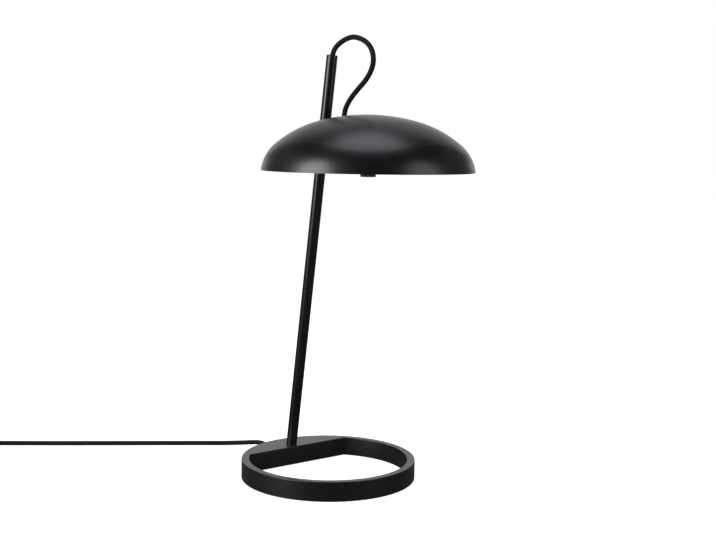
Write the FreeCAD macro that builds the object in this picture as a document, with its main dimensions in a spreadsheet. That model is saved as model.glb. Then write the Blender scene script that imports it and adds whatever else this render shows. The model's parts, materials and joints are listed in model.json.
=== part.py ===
"""Desk lamp: ring base, leaning stem, dome shade on a slider, rotary dimmer and a textile cord.

Millimetres. The origin is on the desk, under the middle of the lamp's footprint. +Z is up,
the shade reaches out towards -Y, and the stem stands at the back, towards +Y.
"""
import FreeCAD, Part
import Sketcher
import math
import os

from FreeCAD import Placement, Rotation, Vector

# ---------------------------------------------------------------------------
# Driving sizes: one spreadsheet row each, (name, value, what it is)
# ---------------------------------------------------------------------------
SIZES = [
    ("base_radius", 95, "ring base, outside"),
    ("base_wall", 8.5, "ring base, width of the ring"),
    ("base_height", 20.5, "ring base, casting height"),
    ("pad_height", 0.5, "gap that the rubber pads keep between casting and desk"),
    ("weight_depth", 37.5, "from the ring's back forward to the front wall of the weight"),
    ("weight_wall", 5, "front wall of the weight's hollow"),
    ("weight_top", 4, "top plate of the weight"),
    ("boss_radius", 4, "screw boss in the hollow"),
    ("cover_thickness", 1.5, "steel cover under the hollow"),
    ("cover_lip", 2.5, "how far the cover overlaps the hollow's edge"),
    ("cover_screw_inset", 3, "from the ring's inside to the circle that the cover's screws stand on"),
    ("pad_radius", 2.5, "round foot pad"),
    ("pad_seat", 0.8, "depth of a foot pad's seat"),
    ("stem_radius", 6, "stem tube, outside"),
    ("stem_wall", 1, "stem tube wall"),
    ("stem_length", 440, "stem tube along its axis"),
    ("stem_lean", 9.1, "degrees that the stem leans forward"),
    ("stem_inset", 23.5, "from the ring's back forward to the stem's foot"),
    ("stud_bore", 3.5, "hollow stud, bore radius"),
    ("stud_grip", 12, "length of stud inside the stem"),
    ("stud_drop", 8.2, "length of stud below the base's top face"),
    ("nut_height", 2.5, "lamp nut under the base"),
    ("bush_flange", 1.2, "plastic bush on the stem's top, flange thickness"),
    ("cord_radius", 2.7, "textile cord"),
    ("exit_height", 7.2, "cord's centre where it leaves the base"),
    ("gland_length", 26, "tapered sleeve outside the base"),
    ("inner_bend", 6.4, "bend of the cord under the stem"),
    ("pivot_drop", 107.8, "from the stem's top down its axis to the shade's pivot"),
    ("slider_radius", 10, "slider body"),
    ("slider_below", 11, "slider body below the pivot"),
    ("slider_above", 9, "slider body above the pivot"),
    ("liner_wall", 0.85, "nylon liner between slider and stem"),
    ("flat_offset", 9.2, "from the stem's axis to the slider's side flats"),
    ("washer_thickness", 1.2, "friction washer"),
    ("washer_radius", 4.5, "friction washer"),
    ("pivot_pin", 1.7, "pivot screw's shoulder radius"),
    ("shade_radius", 110, "dome shade at its rim"),
    ("shade_height", 57.8, "dome shade, rim to crown"),
    ("shade_wall", 1.2, "spun aluminium"),
    ("crown_curve", 194, "radius of the crown's arc"),
    ("crown_edge", 48.3, "distance from the shade's axis where the crown's arc ends"),
    ("shoulder_curve", 119, "radius of the shoulder's arc"),
    ("shoulder_edge", 94.5, "distance from the shade's axis where the shoulder's arc ends"),
    ("shade_reach", 82, "from the pivot forward to the shade's axis"),
    ("pivot_rise", 13, "from the rim's plane up to the pivot"),
    ("tilt_limit", 15, "degrees that the shade tilts each way"),
    ("slot_gap", 1.2, "gap between stem and slot"),
    ("entry_setback", 42.2, "from the shade's axis back to the cord's entry"),
    ("plate_radius", 36, "mounting plate"),
    ("plate_thickness", 2, "mounting plate and its ears"),
    ("plate_rise", 33, "from the rim's plane up to the mounting plate"),
    ("standoff_radius", 3, "stand-off between plate and crown"),
    ("standoff_circle", 26, "radius that the stand-offs stand on"),
    ("centre_tube_radius", 5, "threaded tube in the shade's middle"),
    ("centre_tube_length", 27, "threaded tube below the plate"),
    ("dimmer_radius", 12, "dimmer body"),
    ("dimmer_height", 14, "dimmer body"),
    ("diffuser_radius", 66, "opal disc"),
    ("diffuser_thickness", 2.5, "opal disc"),
    ("diffuser_rise", 10, "from the rim's plane up to the opal disc"),
    ("shaft_radius", 3, "dimmer shaft"),
    ("knob_radius", 8, "dimmer knob"),
    ("knob_drop", 5.7, "how far the knob hangs below the rim's plane"),
    ("knob_height", 10, "dimmer knob"),
    ("holder_radius", 9, "lampholder"),
    ("holder_length", 16, "lampholder"),
    ("holder_start", 13, "from the shade's axis out to a lampholder"),
    ("bulb_radius", 6.5, "capsule lamp"),
    ("bulb_length", 34, "capsule lamp outside its holder"),
    ("coil_inner", 20, "radius of the coil's tightest turn"),
    ("coil_pitch", 5.9, "from one turn of the coil to the next, and from layer to layer"),
    ("plug_thickness", 14, "flat two-pin plug"),
    ("plug_width", 35, "flat two-pin plug"),
    ("plug_length", 36, "flat two-pin plug body"),
]
FIT = 0.05  # radial clearance of a running fit
GAP = 0.15  # clearance between flat faces that slide on each other

doc = FreeCAD.newDocument("desk_lamp")
sheet = doc.addObject("Spreadsheet::Sheet", "Sizes")


class Size(float):
    """A length or angle that remembers the spreadsheet formula it comes from."""

    def __new__(cls, value, formula):
        size = super().__new__(cls, value)
        size.formula = formula
        return size

    def __add__(self, other):
        return Size(float(self) + float(other), f"({self.formula} + {formula_of(other)})")

    def __radd__(self, other):
        return Size(float(other) + float(self), f"({formula_of(other)} + {self.formula})")

    def __sub__(self, other):
        return Size(float(self) - float(other), f"({self.formula} - {formula_of(other)})")

    def __rsub__(self, other):
        return Size(float(other) - float(self), f"({formula_of(other)} - {self.formula})")

    def __mul__(self, other):
        return Size(float(self) * float(other), f"({self.formula} * {formula_of(other)})")

    __rmul__ = __mul__

    def __truediv__(self, other):
        return Size(float(self) / float(other), f"({self.formula} / {formula_of(other)})")

    def __neg__(self):
        return Size(-float(self), f"(0 - {self.formula})")


def root(number):
    """Square root that keeps its formula."""
    return Size(math.sqrt(number), f"sqrt({number.formula})")


def formula_of(number):
    return number.formula if isinstance(number, Size) else repr(float(number))


def fill_sheet():
    for row, (name, value, note) in enumerate(SIZES, 1):
        sheet.set(f"A{row}", note)
        sheet.set(f"B{row}", str(value))
        sheet.setAlias(f"B{row}", name)
    doc.recompute()
    return {name: Size(sheet.get(name), f"Sizes.{name}") for name, _, _ in SIZES}


size = fill_sheet()

# ---------------------------------------------------------------------------
# Frames: where the ring, the stem, the slider and the shade stand
# ---------------------------------------------------------------------------
X_AXIS = Vector(1, 0, 0)
Z_AXIS = Vector(0, 0, 1)
lean = math.radians(size["stem_lean"])
base_top = size["pad_height"] + size["base_height"]
stem_setback = size["base_radius"] - size["stem_inset"]
pivot_along = size["stem_length"] - size["pivot_drop"]
pivot_y = stem_setback - pivot_along * math.sin(lean)
front_reach = size["shade_reach"] + size["shade_radius"] - pivot_y
ring_y = (front_reach - size["base_radius"]) / 2

RING = Placement(Vector(0, ring_y, size["pad_height"]), Rotation())
STEM = Placement(Vector(0, ring_y + stem_setback, base_top), Rotation(X_AXIS, size["stem_lean"]))
STEM_TOP = STEM.multVec(Vector(0, 0, size["stem_length"]))
SLIDER = STEM * Placement(Vector(0, 0, pivot_along), Rotation())
pivot = SLIDER.Base
SHADE = Placement(pivot - Vector(0, size["shade_reach"], size["pivot_rise"]), Rotation())
GLAND_TIP = Vector(0, ring_y + size["base_radius"] + size["gland_length"], 0)

# ---------------------------------------------------------------------------
# Helpers
# ---------------------------------------------------------------------------
pieces = {}


def keep(node, shape_object, frame=None):
    """Names a finished sub-part, and puts it in its frame."""
    shape_object.Label = node
    if frame is not None:
        shape_object.Placement = frame
    pieces[node] = shape_object
    return shape_object


def turn_to(axis):
    return Rotation(Z_AXIS, Vector(*axis))


def primitive(kind, name, at, axis, sizes):
    """A Part primitive whose sizes are bound to the sheet."""
    solid = doc.addObject(kind, name)
    for prop, value in sizes.items():
        setattr(solid, prop, float(value))
        if isinstance(value, Size):
            solid.setExpression(prop, value.formula)
    solid.Placement = Placement(Vector(*at), turn_to(axis))
    return solid


def cylinder(name, radius, height, at=(0, 0, 0), axis=(0, 0, 1)):
    return primitive("Part::Cylinder", name, at, axis, {"Radius": radius, "Height": height})


def cone(name, radius1, radius2, height, at=(0, 0, 0), axis=(0, 0, 1)):
    sizes = {"Radius1": radius1, "Radius2": radius2, "Height": height}
    return primitive("Part::Cone", name, at, axis, sizes)


def box(name, length, width, height, at=(0, 0, 0)):
    """A block centred on at in X and Y, standing on it in Z."""
    corner = (at[0] - length / 2, at[1] - width / 2, at[2])
    sizes = {"Length": length, "Width": width, "Height": height}
    return primitive("Part::Box", name, corner, (0, 0, 1), sizes)


def hexagon(name, across_flats, height, at=(0, 0, 0)):
    solid = doc.addObject("Part::Prism", name)
    solid.Polygon = 6
    solid.Circumradius = across_flats / math.sqrt(3)
    solid.Height = float(height)
    if isinstance(height, Size):
        solid.setExpression("Height", height.formula)
    solid.Placement = Placement(Vector(*at), Rotation())
    return solid


def join(name, *solids):
    fused = doc.addObject("Part::MultiFuse", name)
    fused.Shapes = list(solids)
    fused.Refine = True
    return fused


def cut(name, base, *tools):
    tool = tools[0] if len(tools) == 1 else join(name + "_tools", *tools)
    result = doc.addObject("Part::Cut", name)
    result.Base = base
    result.Tool = tool
    result.Refine = True
    return result


def common(name, first, second):
    result = doc.addObject("Part::Common", name)
    result.Base = first
    result.Tool = second
    return result


def moved(solid, frame):
    """Carries a helper solid from its own frame's coordinates into the model's."""
    solid.Placement = frame * solid.Placement
    return solid


def copies(node, master, placements, frame=None):
    """Several like pieces in one node, as separate solids."""
    doc.recompute()
    group = doc.addObject("Part::Feature", node)
    shapes = []
    for placement in placements:
        shape = master.Shape.copy()
        shape.Placement = placement * shape.Placement
        shapes.append(shape)
    group.Shape = Part.makeCompound(shapes)
    return keep(node, group, frame)


def new_body(name):
    return doc.addObject("PartDesign::Body", name)


def plane_of(body, role):
    return next(f for f in body.Origin.OriginFeatures if f.Role == role)


def new_sketch(body, name, plane="XY_Plane"):
    sketch = body.newObject("Sketcher::SketchObject", name)
    sketch.AttachmentSupport = [(plane_of(body, plane), "")]
    sketch.MapMode = "FlatFace"
    return sketch


def bind(sketch, constraint, value):
    """Adds a dimension and ties it to its formula."""
    index = sketch.addConstraint(constraint)
    if isinstance(value, Size):
        sketch.setExpression(f"Constraints[{index}]", value.formula)


def pin_point(sketch, edge, end, x, y):
    """Holds one end of an edge at (x, y) from the sketch's origin."""
    for kind, value, axis in (("DistanceX", x, -2), ("DistanceY", y, -1)):
        if float(value) == 0 and not isinstance(value, Size):
            sketch.addConstraint(Sketcher.Constraint("PointOnObject", edge, end, axis))
        else:
            bind(sketch, Sketcher.Constraint(kind, -1, 1, edge, end, float(value)), value)


def arc_through(start, end, radius, bulge):
    """The arc from start to end; it bulges to the left of its way for +1, to the right for -1."""
    chord = end - start
    middle = (start + end) / 2
    side = Vector(-chord.y, chord.x, 0).normalize() * bulge
    to_centre = math.sqrt(radius ** 2 - (chord.Length / 2) ** 2)
    top = middle + side * (radius - to_centre)
    return Part.Arc(start, top, end)


def outline(body, name, plane, corners, arcs=()):
    """A closed outline. corners are (x, y); arcs maps an edge's number to (radius, bulge)."""
    sketch = new_sketch(body, name, plane)
    arcs = dict(arcs)
    points = [Vector(float(x), float(y), 0) for x, y in corners]
    flipped = set()
    for i, start in enumerate(points):
        end = points[(i + 1) % len(points)]
        if i not in arcs:
            sketch.addGeometry(Part.LineSegment(start, end))
            continue
        sketch.addGeometry(arc_through(start, end, float(arcs[i][0]), arcs[i][1]))
        if (sketch.getPoint(i, 1) - start).Length > 1e-6:
            flipped.add(i)
        bind(sketch, Sketcher.Constraint("Radius", i, float(arcs[i][0])), arcs[i][0])
    for i, corner in enumerate(corners):
        before = (i - 1) % len(corners)
        near = 2 if i in flipped else 1
        far = 1 if before in flipped else 2
        sketch.addConstraint(Sketcher.Constraint("Coincident", before, far, i, near))
        pin_point(sketch, i, near, *corner)
    return sketch


def rings(body, name, circles, plane="XY_Plane"):
    """A sketch of circles, each (x, y, radius)."""
    sketch = new_sketch(body, name, plane)
    for i, (x, y, radius) in enumerate(circles):
        sketch.addGeometry(Part.Circle(Vector(float(x), float(y), 0), Z_AXIS, float(radius)))
        bind(sketch, Sketcher.Constraint("Radius", i, float(radius)), radius)
        pin_point(sketch, i, 3, x, y)
    return sketch


def feature(body, kind, name, sketch, length=None, **settings):
    """A sketch-based feature; length is bound to the sheet."""
    made = body.newObject("PartDesign::" + kind, name)
    made.Profile = sketch
    if length is not None:
        made.Length = float(length)
        if isinstance(length, Size):
            made.setExpression("Length", length.formula)
    for prop, value in settings.items():
        setattr(made, prop, value)
    return made


def pad(body, name, sketch, length, **settings):
    return feature(body, "Pad", name, sketch, length, **settings)


def pocket(body, name, sketch, length, **settings):
    """A pocket that has to take material away."""
    doc.recompute()
    before = body.Shape.Volume
    made = feature(body, "Pocket", name, sketch, length, **settings)
    doc.recompute()
    if body.Shape.Volume >= before - 1e-6:
        raise RuntimeError(f"{name} cuts nothing")
    return made


def spin(body, name, sketch):
    """Turns an XZ sketch round the body's Z axis."""
    return feature(body, "Revolution", name, sketch, ReferenceAxis=(sketch, ["V_Axis"]), Angle=360)


def turned(name, corners, arcs=()):
    """A turned piece from its half outline, (radius, height) corners."""
    body = new_body(name)
    spin(body, name + "_turned", outline(body, name + "_half", "XZ_Plane", corners, arcs))
    return body


def round_edges(body, name, radius, chosen, kind="Fillet"):
    """Rounds the edges of the body that chosen picks."""
    doc.recompute()
    base = body.Tip
    names = [f"Edge{i}" for i, edge in enumerate(base.Shape.Edges, 1) if chosen(edge)]
    made = body.newObject("PartDesign::" + kind, name)
    made.Base = (base, names)
    prop = "Radius" if kind == "Fillet" else "Size"
    setattr(made, prop, radius)
    return made


def at_height(height, edge):
    return abs(edge.BoundBox.ZMin - height) < 1e-4 and abs(edge.BoundBox.ZMax - height) < 1e-4


# ---------------------------------------------------------------------------
# Cords: straight runs joined by tangent arcs
# ---------------------------------------------------------------------------
RUN_SHARE = 0.45  # each arc takes this share of the shorter of its two runs


def rounded_route(points, bend=None):
    """The wire along points, and its radii. bend fixes every arc's radius."""
    edges = []
    radii = []
    start = points[0]
    for before, corner, after in zip(points, points[1:], points[2:]):
        incoming = corner - before
        outgoing = after - corner
        half_turn = incoming.getAngle(outgoing) / 2
        reach = RUN_SHARE * min(incoming.Length, outgoing.Length)
        if bend is not None:
            reach = bend * math.tan(half_turn)
        radius = reach / math.tan(half_turn)
        incoming.normalize()
        outgoing.normalize()
        inward = (outgoing - incoming).normalize()
        middle = corner + inward * (radius / math.cos(half_turn) - radius)
        entry = corner - incoming * reach
        leave = corner + outgoing * reach
        edges.append(Part.LineSegment(start, entry).toShape())
        edges.append(Part.Arc(entry, middle, leave).toShape())
        radii.append(radius)
        start = leave
    edges.append(Part.LineSegment(start, points[-1]).toShape())
    return Part.Wire(edges), radii


def swept(wire, radius):
    """A round tube along a wire, its volume compared with section times length."""
    first = wire.Edges[0]
    start = first.valueAt(first.FirstParameter)
    along = first.tangentAt(first.FirstParameter)
    ring = Part.Wire([Part.Circle(start, along, radius).toShape()])
    tube = wire.makePipeShell([ring], True, False)
    share = tube.Volume / (math.pi * radius ** 2 * wire.Length)
    return tube, share


def cord(node, points, radius, bend=None):
    """A cord's tube along hand-chosen points."""
    wire, radii = rounded_route(points, bend)
    tube, share = swept(wire, radius)
    print(f"{node}: {wire.Length:.1f} mm, volume / (section x length) = {share:.4f}")
    print("  radii " + " ".join(f"{r:.0f}" for r in radii))
    piece = doc.addObject("Part::Feature", node)
    piece.Shape = tube
    return keep(node, piece)


def biarc(start, start_way, end, end_way):
    """Two arcs that leave start along start_way and reach end along end_way."""
    span = end - start
    ways = start_way + end_way
    turn = 2 * (1 - start_way.dot(end_way))
    along = span.dot(ways)
    reach = (math.sqrt(along ** 2 + turn * span.dot(span)) - along) / turn
    joint = (start + end + (start_way - end_way) * reach) / 2
    return [arc_leaving(start, start_way, joint), arc_leaving(end, end_way * -1, joint)]


def arc_leaving(start, way, end):
    """The arc from start along way to end."""
    chord = end - start
    square = (chord - way * chord.dot(way)).normalize()
    radius = chord.dot(chord) / (2 * chord.dot(square))
    centre = start + square * radius
    middle = centre + ((start + end) / 2 - centre).normalize() * radius
    return Part.Arc(start, middle, end).toShape()


# ---------------------------------------------------------------------------
# Ring base
# ---------------------------------------------------------------------------
stem_bore = size["stem_radius"] - size["stem_wall"]
stud_radius = stem_bore - FIT
base_inner = size["base_radius"] - size["base_wall"]
weight_front = size["base_radius"] - size["weight_depth"]
hollow_front = weight_front + size["weight_wall"]
hollow_depth = size["base_height"] - size["weight_top"]
screw_circle = base_inner - size["cover_screw_inset"]
INNER_SCREWS = 23.4  # inner cover screws, to each side of the middle
OUTER_SCREWS = 6  # outer cover screws, behind the hollow's front wall
FOOT_PAD_ANGLES = (-120, -60, 0, 60, 120)  # degrees from straight ahead
PAD_FIT = 0.1  # gap round a foot pad in its seat
SCREW_RADIUS = 1.5
SCREW_LENGTH = 9
THREAD_HOLE = 1.55
CORNER_ROUND = 2
TOP_ROUND = 0.8
NECK_RADIUS = 3.8  # the gland where it passes the wall
CUT_MARGIN = 1
HEAD_RADIUS = 2.8  # countersunk head of a cover screw
HEAD_DEPTH = 1.3
COVER_FIT = 0.2  # gap round the cover in its seat
COVER_PAD_LENGTH = 56
COVER_PAD_WIDTH = 14
BUSH_EDGE = 0.5


def segment(body, name, radius, front):
    """A circle's part behind a chord, as a sketch."""
    half = root(radius * radius - front * front)
    return outline(body, name, "XY_Plane", [(half, front), (-half, front)], {1: (radius, 1)})


def around(circle_radius, degrees, height=0.0, way=1):
    """A place on a circle, counted from straight back (way 1) or straight ahead (way -1)."""
    turn = math.radians(degrees)
    return Vector(circle_radius * math.sin(turn), way * circle_radius * math.cos(turn), height)


def screw_spots():
    """Where the cover's four screws stand, from the ring's centre."""
    back = hollow_front + OUTER_SCREWS
    outer = root(screw_circle * screw_circle - back * back)
    inner_back = root(screw_circle * screw_circle - INNER_SCREWS * INNER_SCREWS)
    return [(-outer, back), (-INNER_SCREWS, inner_back), (INNER_SCREWS, inner_back), (outer, back)]


def make_base_ring():
    """The casting: ring and weight in one, hollow from below, with the stem's and the cord's holes."""
    body = new_body("ring_casting")
    height = size["base_height"]
    pad(body, "ring_disc", rings(body, "ring_outside", [(0, 0, size["base_radius"])]), height)
    pocket(body, "ring_bore", rings(body, "ring_inside", [(0, 0, base_inner)]), height, Reversed=True)
    web = size["base_radius"] - size["base_wall"] / 2
    pad(body, "weight", segment(body, "weight_outline", web, weight_front), height)
    round_edges(body, "weight_corners", CORNER_ROUND, is_weight_corner)
    hollow = segment(body, "hollow_outline", base_inner, hollow_front)
    pocket(body, "hollow", hollow, hollow_depth, Reversed=True)
    bosses = rings(body, "boss_outlines", [(x, y, size["boss_radius"]) for x, y in screw_spots()])
    pad(body, "bosses", bosses, hollow_depth)
    lip = size["cover_lip"]
    seat = segment(body, "cover_seat_outline", base_inner + lip, hollow_front - lip)
    pocket(body, "cover_seat", seat, size["cover_thickness"], Reversed=True)
    threads = rings(body, "thread_outlines", [(x, y, THREAD_HOLE) for x, y in screw_spots()])
    pocket(body, "threads", threads, size["cover_thickness"] + SCREW_LENGTH, Reversed=True)
    pads = [around(web, degrees, way=-1) for degrees in FOOT_PAD_ANGLES]
    seat_radius = size["pad_radius"] + PAD_FIT
    seats = rings(body, "pad_seat_outlines", [(spot.x, spot.y, seat_radius) for spot in pads])
    pocket(body, "pad_seats", seats, size["pad_seat"], Reversed=True)
    round_edges(body, "top_edges", TOP_ROUND, lambda edge: at_height(height, edge))
    body.Placement = RING
    stem_hole = cylinder("stem_hole", stud_radius + FIT, 3 * size["weight_top"])
    stem_hole.Placement = STEM * Placement(Vector(0, 0, -2 * size["weight_top"]), Rotation())
    cord_way = (0, ring_y + base_inner - CUT_MARGIN, size["exit_height"])
    through = size["base_wall"] + 2 * CUT_MARGIN
    cord_hole = cylinder("cord_hole", NECK_RADIUS + FIT, through, cord_way, (0, 1, 0))
    keep("base_ring", cut("base_casting", body, stem_hole, cord_hole))


def is_weight_corner(edge):
    """An upright edge where the weight's front wall meets the ring's bore."""
    box_ = edge.BoundBox
    upright = box_.ZLength > size["base_height"] / 2 and box_.XLength < 1e-6 and box_.YLength < 1e-6
    return upright and abs(box_.YMin - weight_front) < 1e-3


def make_cover():
    """Steel cover under the hollow, its screws, the pad stuck to it and the ring's foot pads."""
    lip = size["cover_lip"] - COVER_FIT
    body = new_body("cover_sheet")
    sketch = segment(body, "cover_outline", base_inner + lip, hollow_front - lip)
    pad(body, "cover_plate", sketch, size["cover_thickness"])
    sinks = []
    spots = [Vector(x, y, 0) for x, y in screw_spots()]
    for spot in spots:
        sinks.append(cone("cover_sink", HEAD_RADIUS + PAD_FIT, SCREW_RADIUS + PAD_FIT, HEAD_DEPTH, spot))
        sinks.append(cylinder("cover_hole", SCREW_RADIUS + PAD_FIT, size["cover_thickness"], spot))
    keep("base_cover", cut("cover_sunk", body, *sinks), RING)
    head = cone("screw_head", HEAD_RADIUS, SCREW_RADIUS, HEAD_DEPTH)
    shank = cylinder("screw_shank", SCREW_RADIUS, SCREW_LENGTH)
    screw = join("cover_screw", head, shank)
    copies("cover_screws", screw, [Placement(spot, Rotation()) for spot in spots], RING)
    middle = (0, hollow_front + COVER_PAD_WIDTH / 2 + size["cover_lip"], -float(size["pad_height"]))
    cover_pad = box("cover_pad_strip", COVER_PAD_LENGTH, COVER_PAD_WIDTH, size["pad_height"], middle)
    keep("cover_pad", cover_pad, RING * cover_pad.Placement)
    web = size["base_radius"] - size["base_wall"] / 2
    foot = cylinder("foot_pad", size["pad_radius"], size["pad_height"] + size["pad_seat"])
    spots = [around(web, degrees, -size["pad_height"], way=-1) for degrees in FOOT_PAD_ANGLES]
    copies("foot_pads", foot, [Placement(spot, Rotation()) for spot in spots], RING)


# ---------------------------------------------------------------------------
# Stem
# ---------------------------------------------------------------------------
WASHER_RADIUS = 7  # taper washer under the base's top plate
WASHER_MIDDLE = 1.6  # its thickness on the stem's axis
NUT_ACROSS = 14
BUSH_DEPTH = 8
BUSH_PLAY = 0.6  # the cord starts its bend inside the bush
MITRE = 4  # spare length that the level cuts take off
LEVEL_CUT = 40  # side of the blocks that cut level


def make_stem():
    """Tube cut level on the base, with its hollow stud, taper washer and nut, and the bush on top."""
    whole = size["stem_length"] + MITRE
    tube = moved(cylinder("stem_outside", size["stem_radius"], whole, (0, 0, -MITRE)), STEM)
    bore = moved(cylinder("stem_bore", stem_bore, whole, (0, 0, -MITRE)), STEM)
    foot = STEM.Base
    below = box("below_base_top", LEVEL_CUT, LEVEL_CUT, 2 * MITRE, (0, foot.y, foot.z - 2 * MITRE))
    keep("stem_tube", cut("stem_mitred", tube, bore, below))
    drop = size["stud_drop"]
    stud = cylinder("stud_outside", stud_radius, drop + size["stud_grip"], (0, 0, -drop))
    hole = cylinder("stud_bore", size["stud_bore"], drop + size["stud_grip"], (0, 0, -drop))
    keep("stem_stud", cut("stud_tube", stud, hole), STEM)
    washer_foot = -size["weight_top"] / math.cos(lean) - WASHER_MIDDLE
    disc = moved(cylinder("washer_disc", WASHER_RADIUS, MITRE, (0, 0, washer_foot)), STEM)
    hole = moved(cylinder("washer_hole", stud_radius + FIT, MITRE, (0, 0, washer_foot)), STEM)
    under_plate = (0, foot.y, foot.z - size["weight_top"])
    above = box("above_washer", LEVEL_CUT, LEVEL_CUT, 2 * MITRE, under_plate)
    keep("taper_washer", cut("washer_tapered", disc, hole, above))
    nut_foot = washer_foot - size["nut_height"]
    nut = hexagon("nut_hexagon", NUT_ACROSS, size["nut_height"], (0, 0, nut_foot))
    hole = cylinder("nut_hole", stud_radius + FIT, size["nut_height"], (0, 0, nut_foot))
    keep("stem_nut", cut("nut_bored", nut, hole), STEM)
    inside = size["cord_radius"] + BUSH_PLAY
    flange = size["bush_flange"]
    bush = turned("bush", [
        (inside, -BUSH_DEPTH), (stem_bore - FIT, -BUSH_DEPTH), (stem_bore - FIT, 0),
        (size["stem_radius"], 0), (size["stem_radius"], flange - BUSH_EDGE),
        (size["stem_radius"] - BUSH_EDGE, flange), (inside + BUSH_EDGE, flange),
        (inside, flange - BUSH_EDGE)])
    keep("stem_bush", bush, STEM * Placement(Vector(0, 0, size["stem_length"]), Rotation()))


# ---------------------------------------------------------------------------
# Slider on the stem, which carries the shade's pivot
# ---------------------------------------------------------------------------
HEAD_HEIGHT = 2.2
HEAD_OUTSIDE = 3.4
SLOT_WIDTH = 0.9
SLOT_DEPTH = 0.5
TENSION_HEIGHT = -6  # tension screw, along the stem from the pivot
TENSION_RADIUS = 2
TENSION_HEAD = 3.5
SOCKET_ACROSS = 3
ear_inner = size["flat_offset"] + size["washer_thickness"] + GAP
ear_outer = ear_inner + size["plate_thickness"]
liner_outer = size["stem_radius"] + FIT + size["liner_wall"]


def make_slider():
    """Sleeve with a nylon liner, two pivot screws with friction washers, and a tension screw."""
    length = size["slider_below"] + size["slider_above"]
    low = (0, 0, -size["slider_below"])
    sleeve = cylinder("sleeve_outside", size["slider_radius"], length, low)
    tools = [cylinder("sleeve_bore", liner_outer + FIT, length, low)]
    for side in (-1, 1):
        flat = box("sleeve_flat", size["slider_radius"], 2 * size["slider_radius"], length, low)
        reach = side * (size["flat_offset"] + size["slider_radius"] / 2)
        flat.Placement = Placement(Vector(reach, 0, 0), Rotation()) * flat.Placement
        tools.append(flat)
    across = 2 * size["slider_radius"]
    pin_start = (-size["slider_radius"], 0, 0)
    tools.append(cylinder("sleeve_pin_hole", size["pivot_pin"] + FIT, across, pin_start, (1, 0, 0)))
    screw_at = (0, 0, TENSION_HEIGHT)
    tools.append(cylinder("sleeve_screw_hole", TENSION_RADIUS + FIT, across, screw_at, (0, 1, 0)))
    keep("slider_body", cut("sleeve", sleeve, *tools), SLIDER)
    liner = cylinder("liner_outside", liner_outer, length, low)
    bore = cylinder("liner_bore", size["stem_radius"] + FIT, length, low)
    keep("slider_liner", cut("liner_tube", liner, bore), SLIDER)
    start = liner_outer + 2 * FIT
    head_start = ear_outer + GAP
    shank = cylinder("pivot_shank", size["pivot_pin"], head_start - start, (start, 0, 0), (1, 0, 0))
    head = cylinder("pivot_head", HEAD_OUTSIDE, HEAD_HEIGHT, (head_start, 0, 0), (1, 0, 0))
    slot_at = (head_start + HEAD_HEIGHT, 0, -SLOT_WIDTH / 2)
    slot = box("pivot_slot", 2 * SLOT_DEPTH, 3 * HEAD_OUTSIDE, SLOT_WIDTH, slot_at)
    screw = cut("pivot_screw", join("pivot_blank", shank, head), slot)
    both = [Placement(), Placement(Vector(), Rotation(Z_AXIS, 180))]
    copies("pivot_screws", screw, both, SLIDER)
    inner = (size["flat_offset"], 0, 0)
    disc = cylinder("washer_outside", size["washer_radius"], size["washer_thickness"], inner, (1, 0, 0))
    hole = cylinder("washer_bore", size["pivot_pin"] + FIT, size["washer_thickness"], inner, (1, 0, 0))
    copies("friction_washers", cut("friction_washer", disc, hole), both, SLIDER)
    tip = liner_outer + FIT
    seat = size["slider_radius"] + GAP
    shank = cylinder("tension_shank", TENSION_RADIUS, seat - tip, (0, tip, TENSION_HEIGHT), (0, 1, 0))
    head = cylinder("tension_head", TENSION_HEAD, HEAD_OUTSIDE, (0, seat, TENSION_HEIGHT), (0, 1, 0))
    socket = hexagon("tension_socket", SOCKET_ACROSS, HEAD_HEIGHT)
    socket_at = Vector(0, seat + HEAD_OUTSIDE - HEAD_HEIGHT, TENSION_HEIGHT)
    socket.Placement = Placement(socket_at, turn_to((0, 1, 0)))
    screw = cut("tension_screw_cut", join("tension_blank", shank, head), socket)
    keep("tension_screw", screw, SLIDER)


# ---------------------------------------------------------------------------
# Dome shade: three tangent arcs, crown, shoulder and skirt
# ---------------------------------------------------------------------------
GROMMET_NECK = 5.2
GROMMET_FLANGE = 6.8
GROMMET_LIP = 1.2
GROMMET_BORE = 4.2  # wide enough for a cord that goes through at a slant
GROMMET_EDGE = 0.6
ENTRY_CUT = 10  # how far the cord's hole is cut to each side of the shell
crown_sine = size["crown_edge"] / size["crown_curve"]
crown_cosine = root(1 - crown_sine * crown_sine)
crown_drop = size["crown_curve"] * (1 - crown_cosine)
shoulder_centre = size["crown_edge"] - size["shoulder_curve"] * crown_sine
shoulder_sine = (size["shoulder_edge"] - shoulder_centre) / size["shoulder_curve"]
shoulder_cosine = root(1 - shoulder_sine * shoulder_sine)
crown_end = size["shade_height"] - crown_drop
shoulder_end = crown_end - size["shoulder_curve"] * (crown_cosine - shoulder_cosine)


def skirt_curve(rim, edge, height):
    """Radius of the arc that leaves the shoulder smoothly and ends at the rim's radius at height 0."""
    out = rim - edge
    return (out * out + height * height) / ((height * shoulder_cosine - out * shoulder_sine) * 2)


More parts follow.
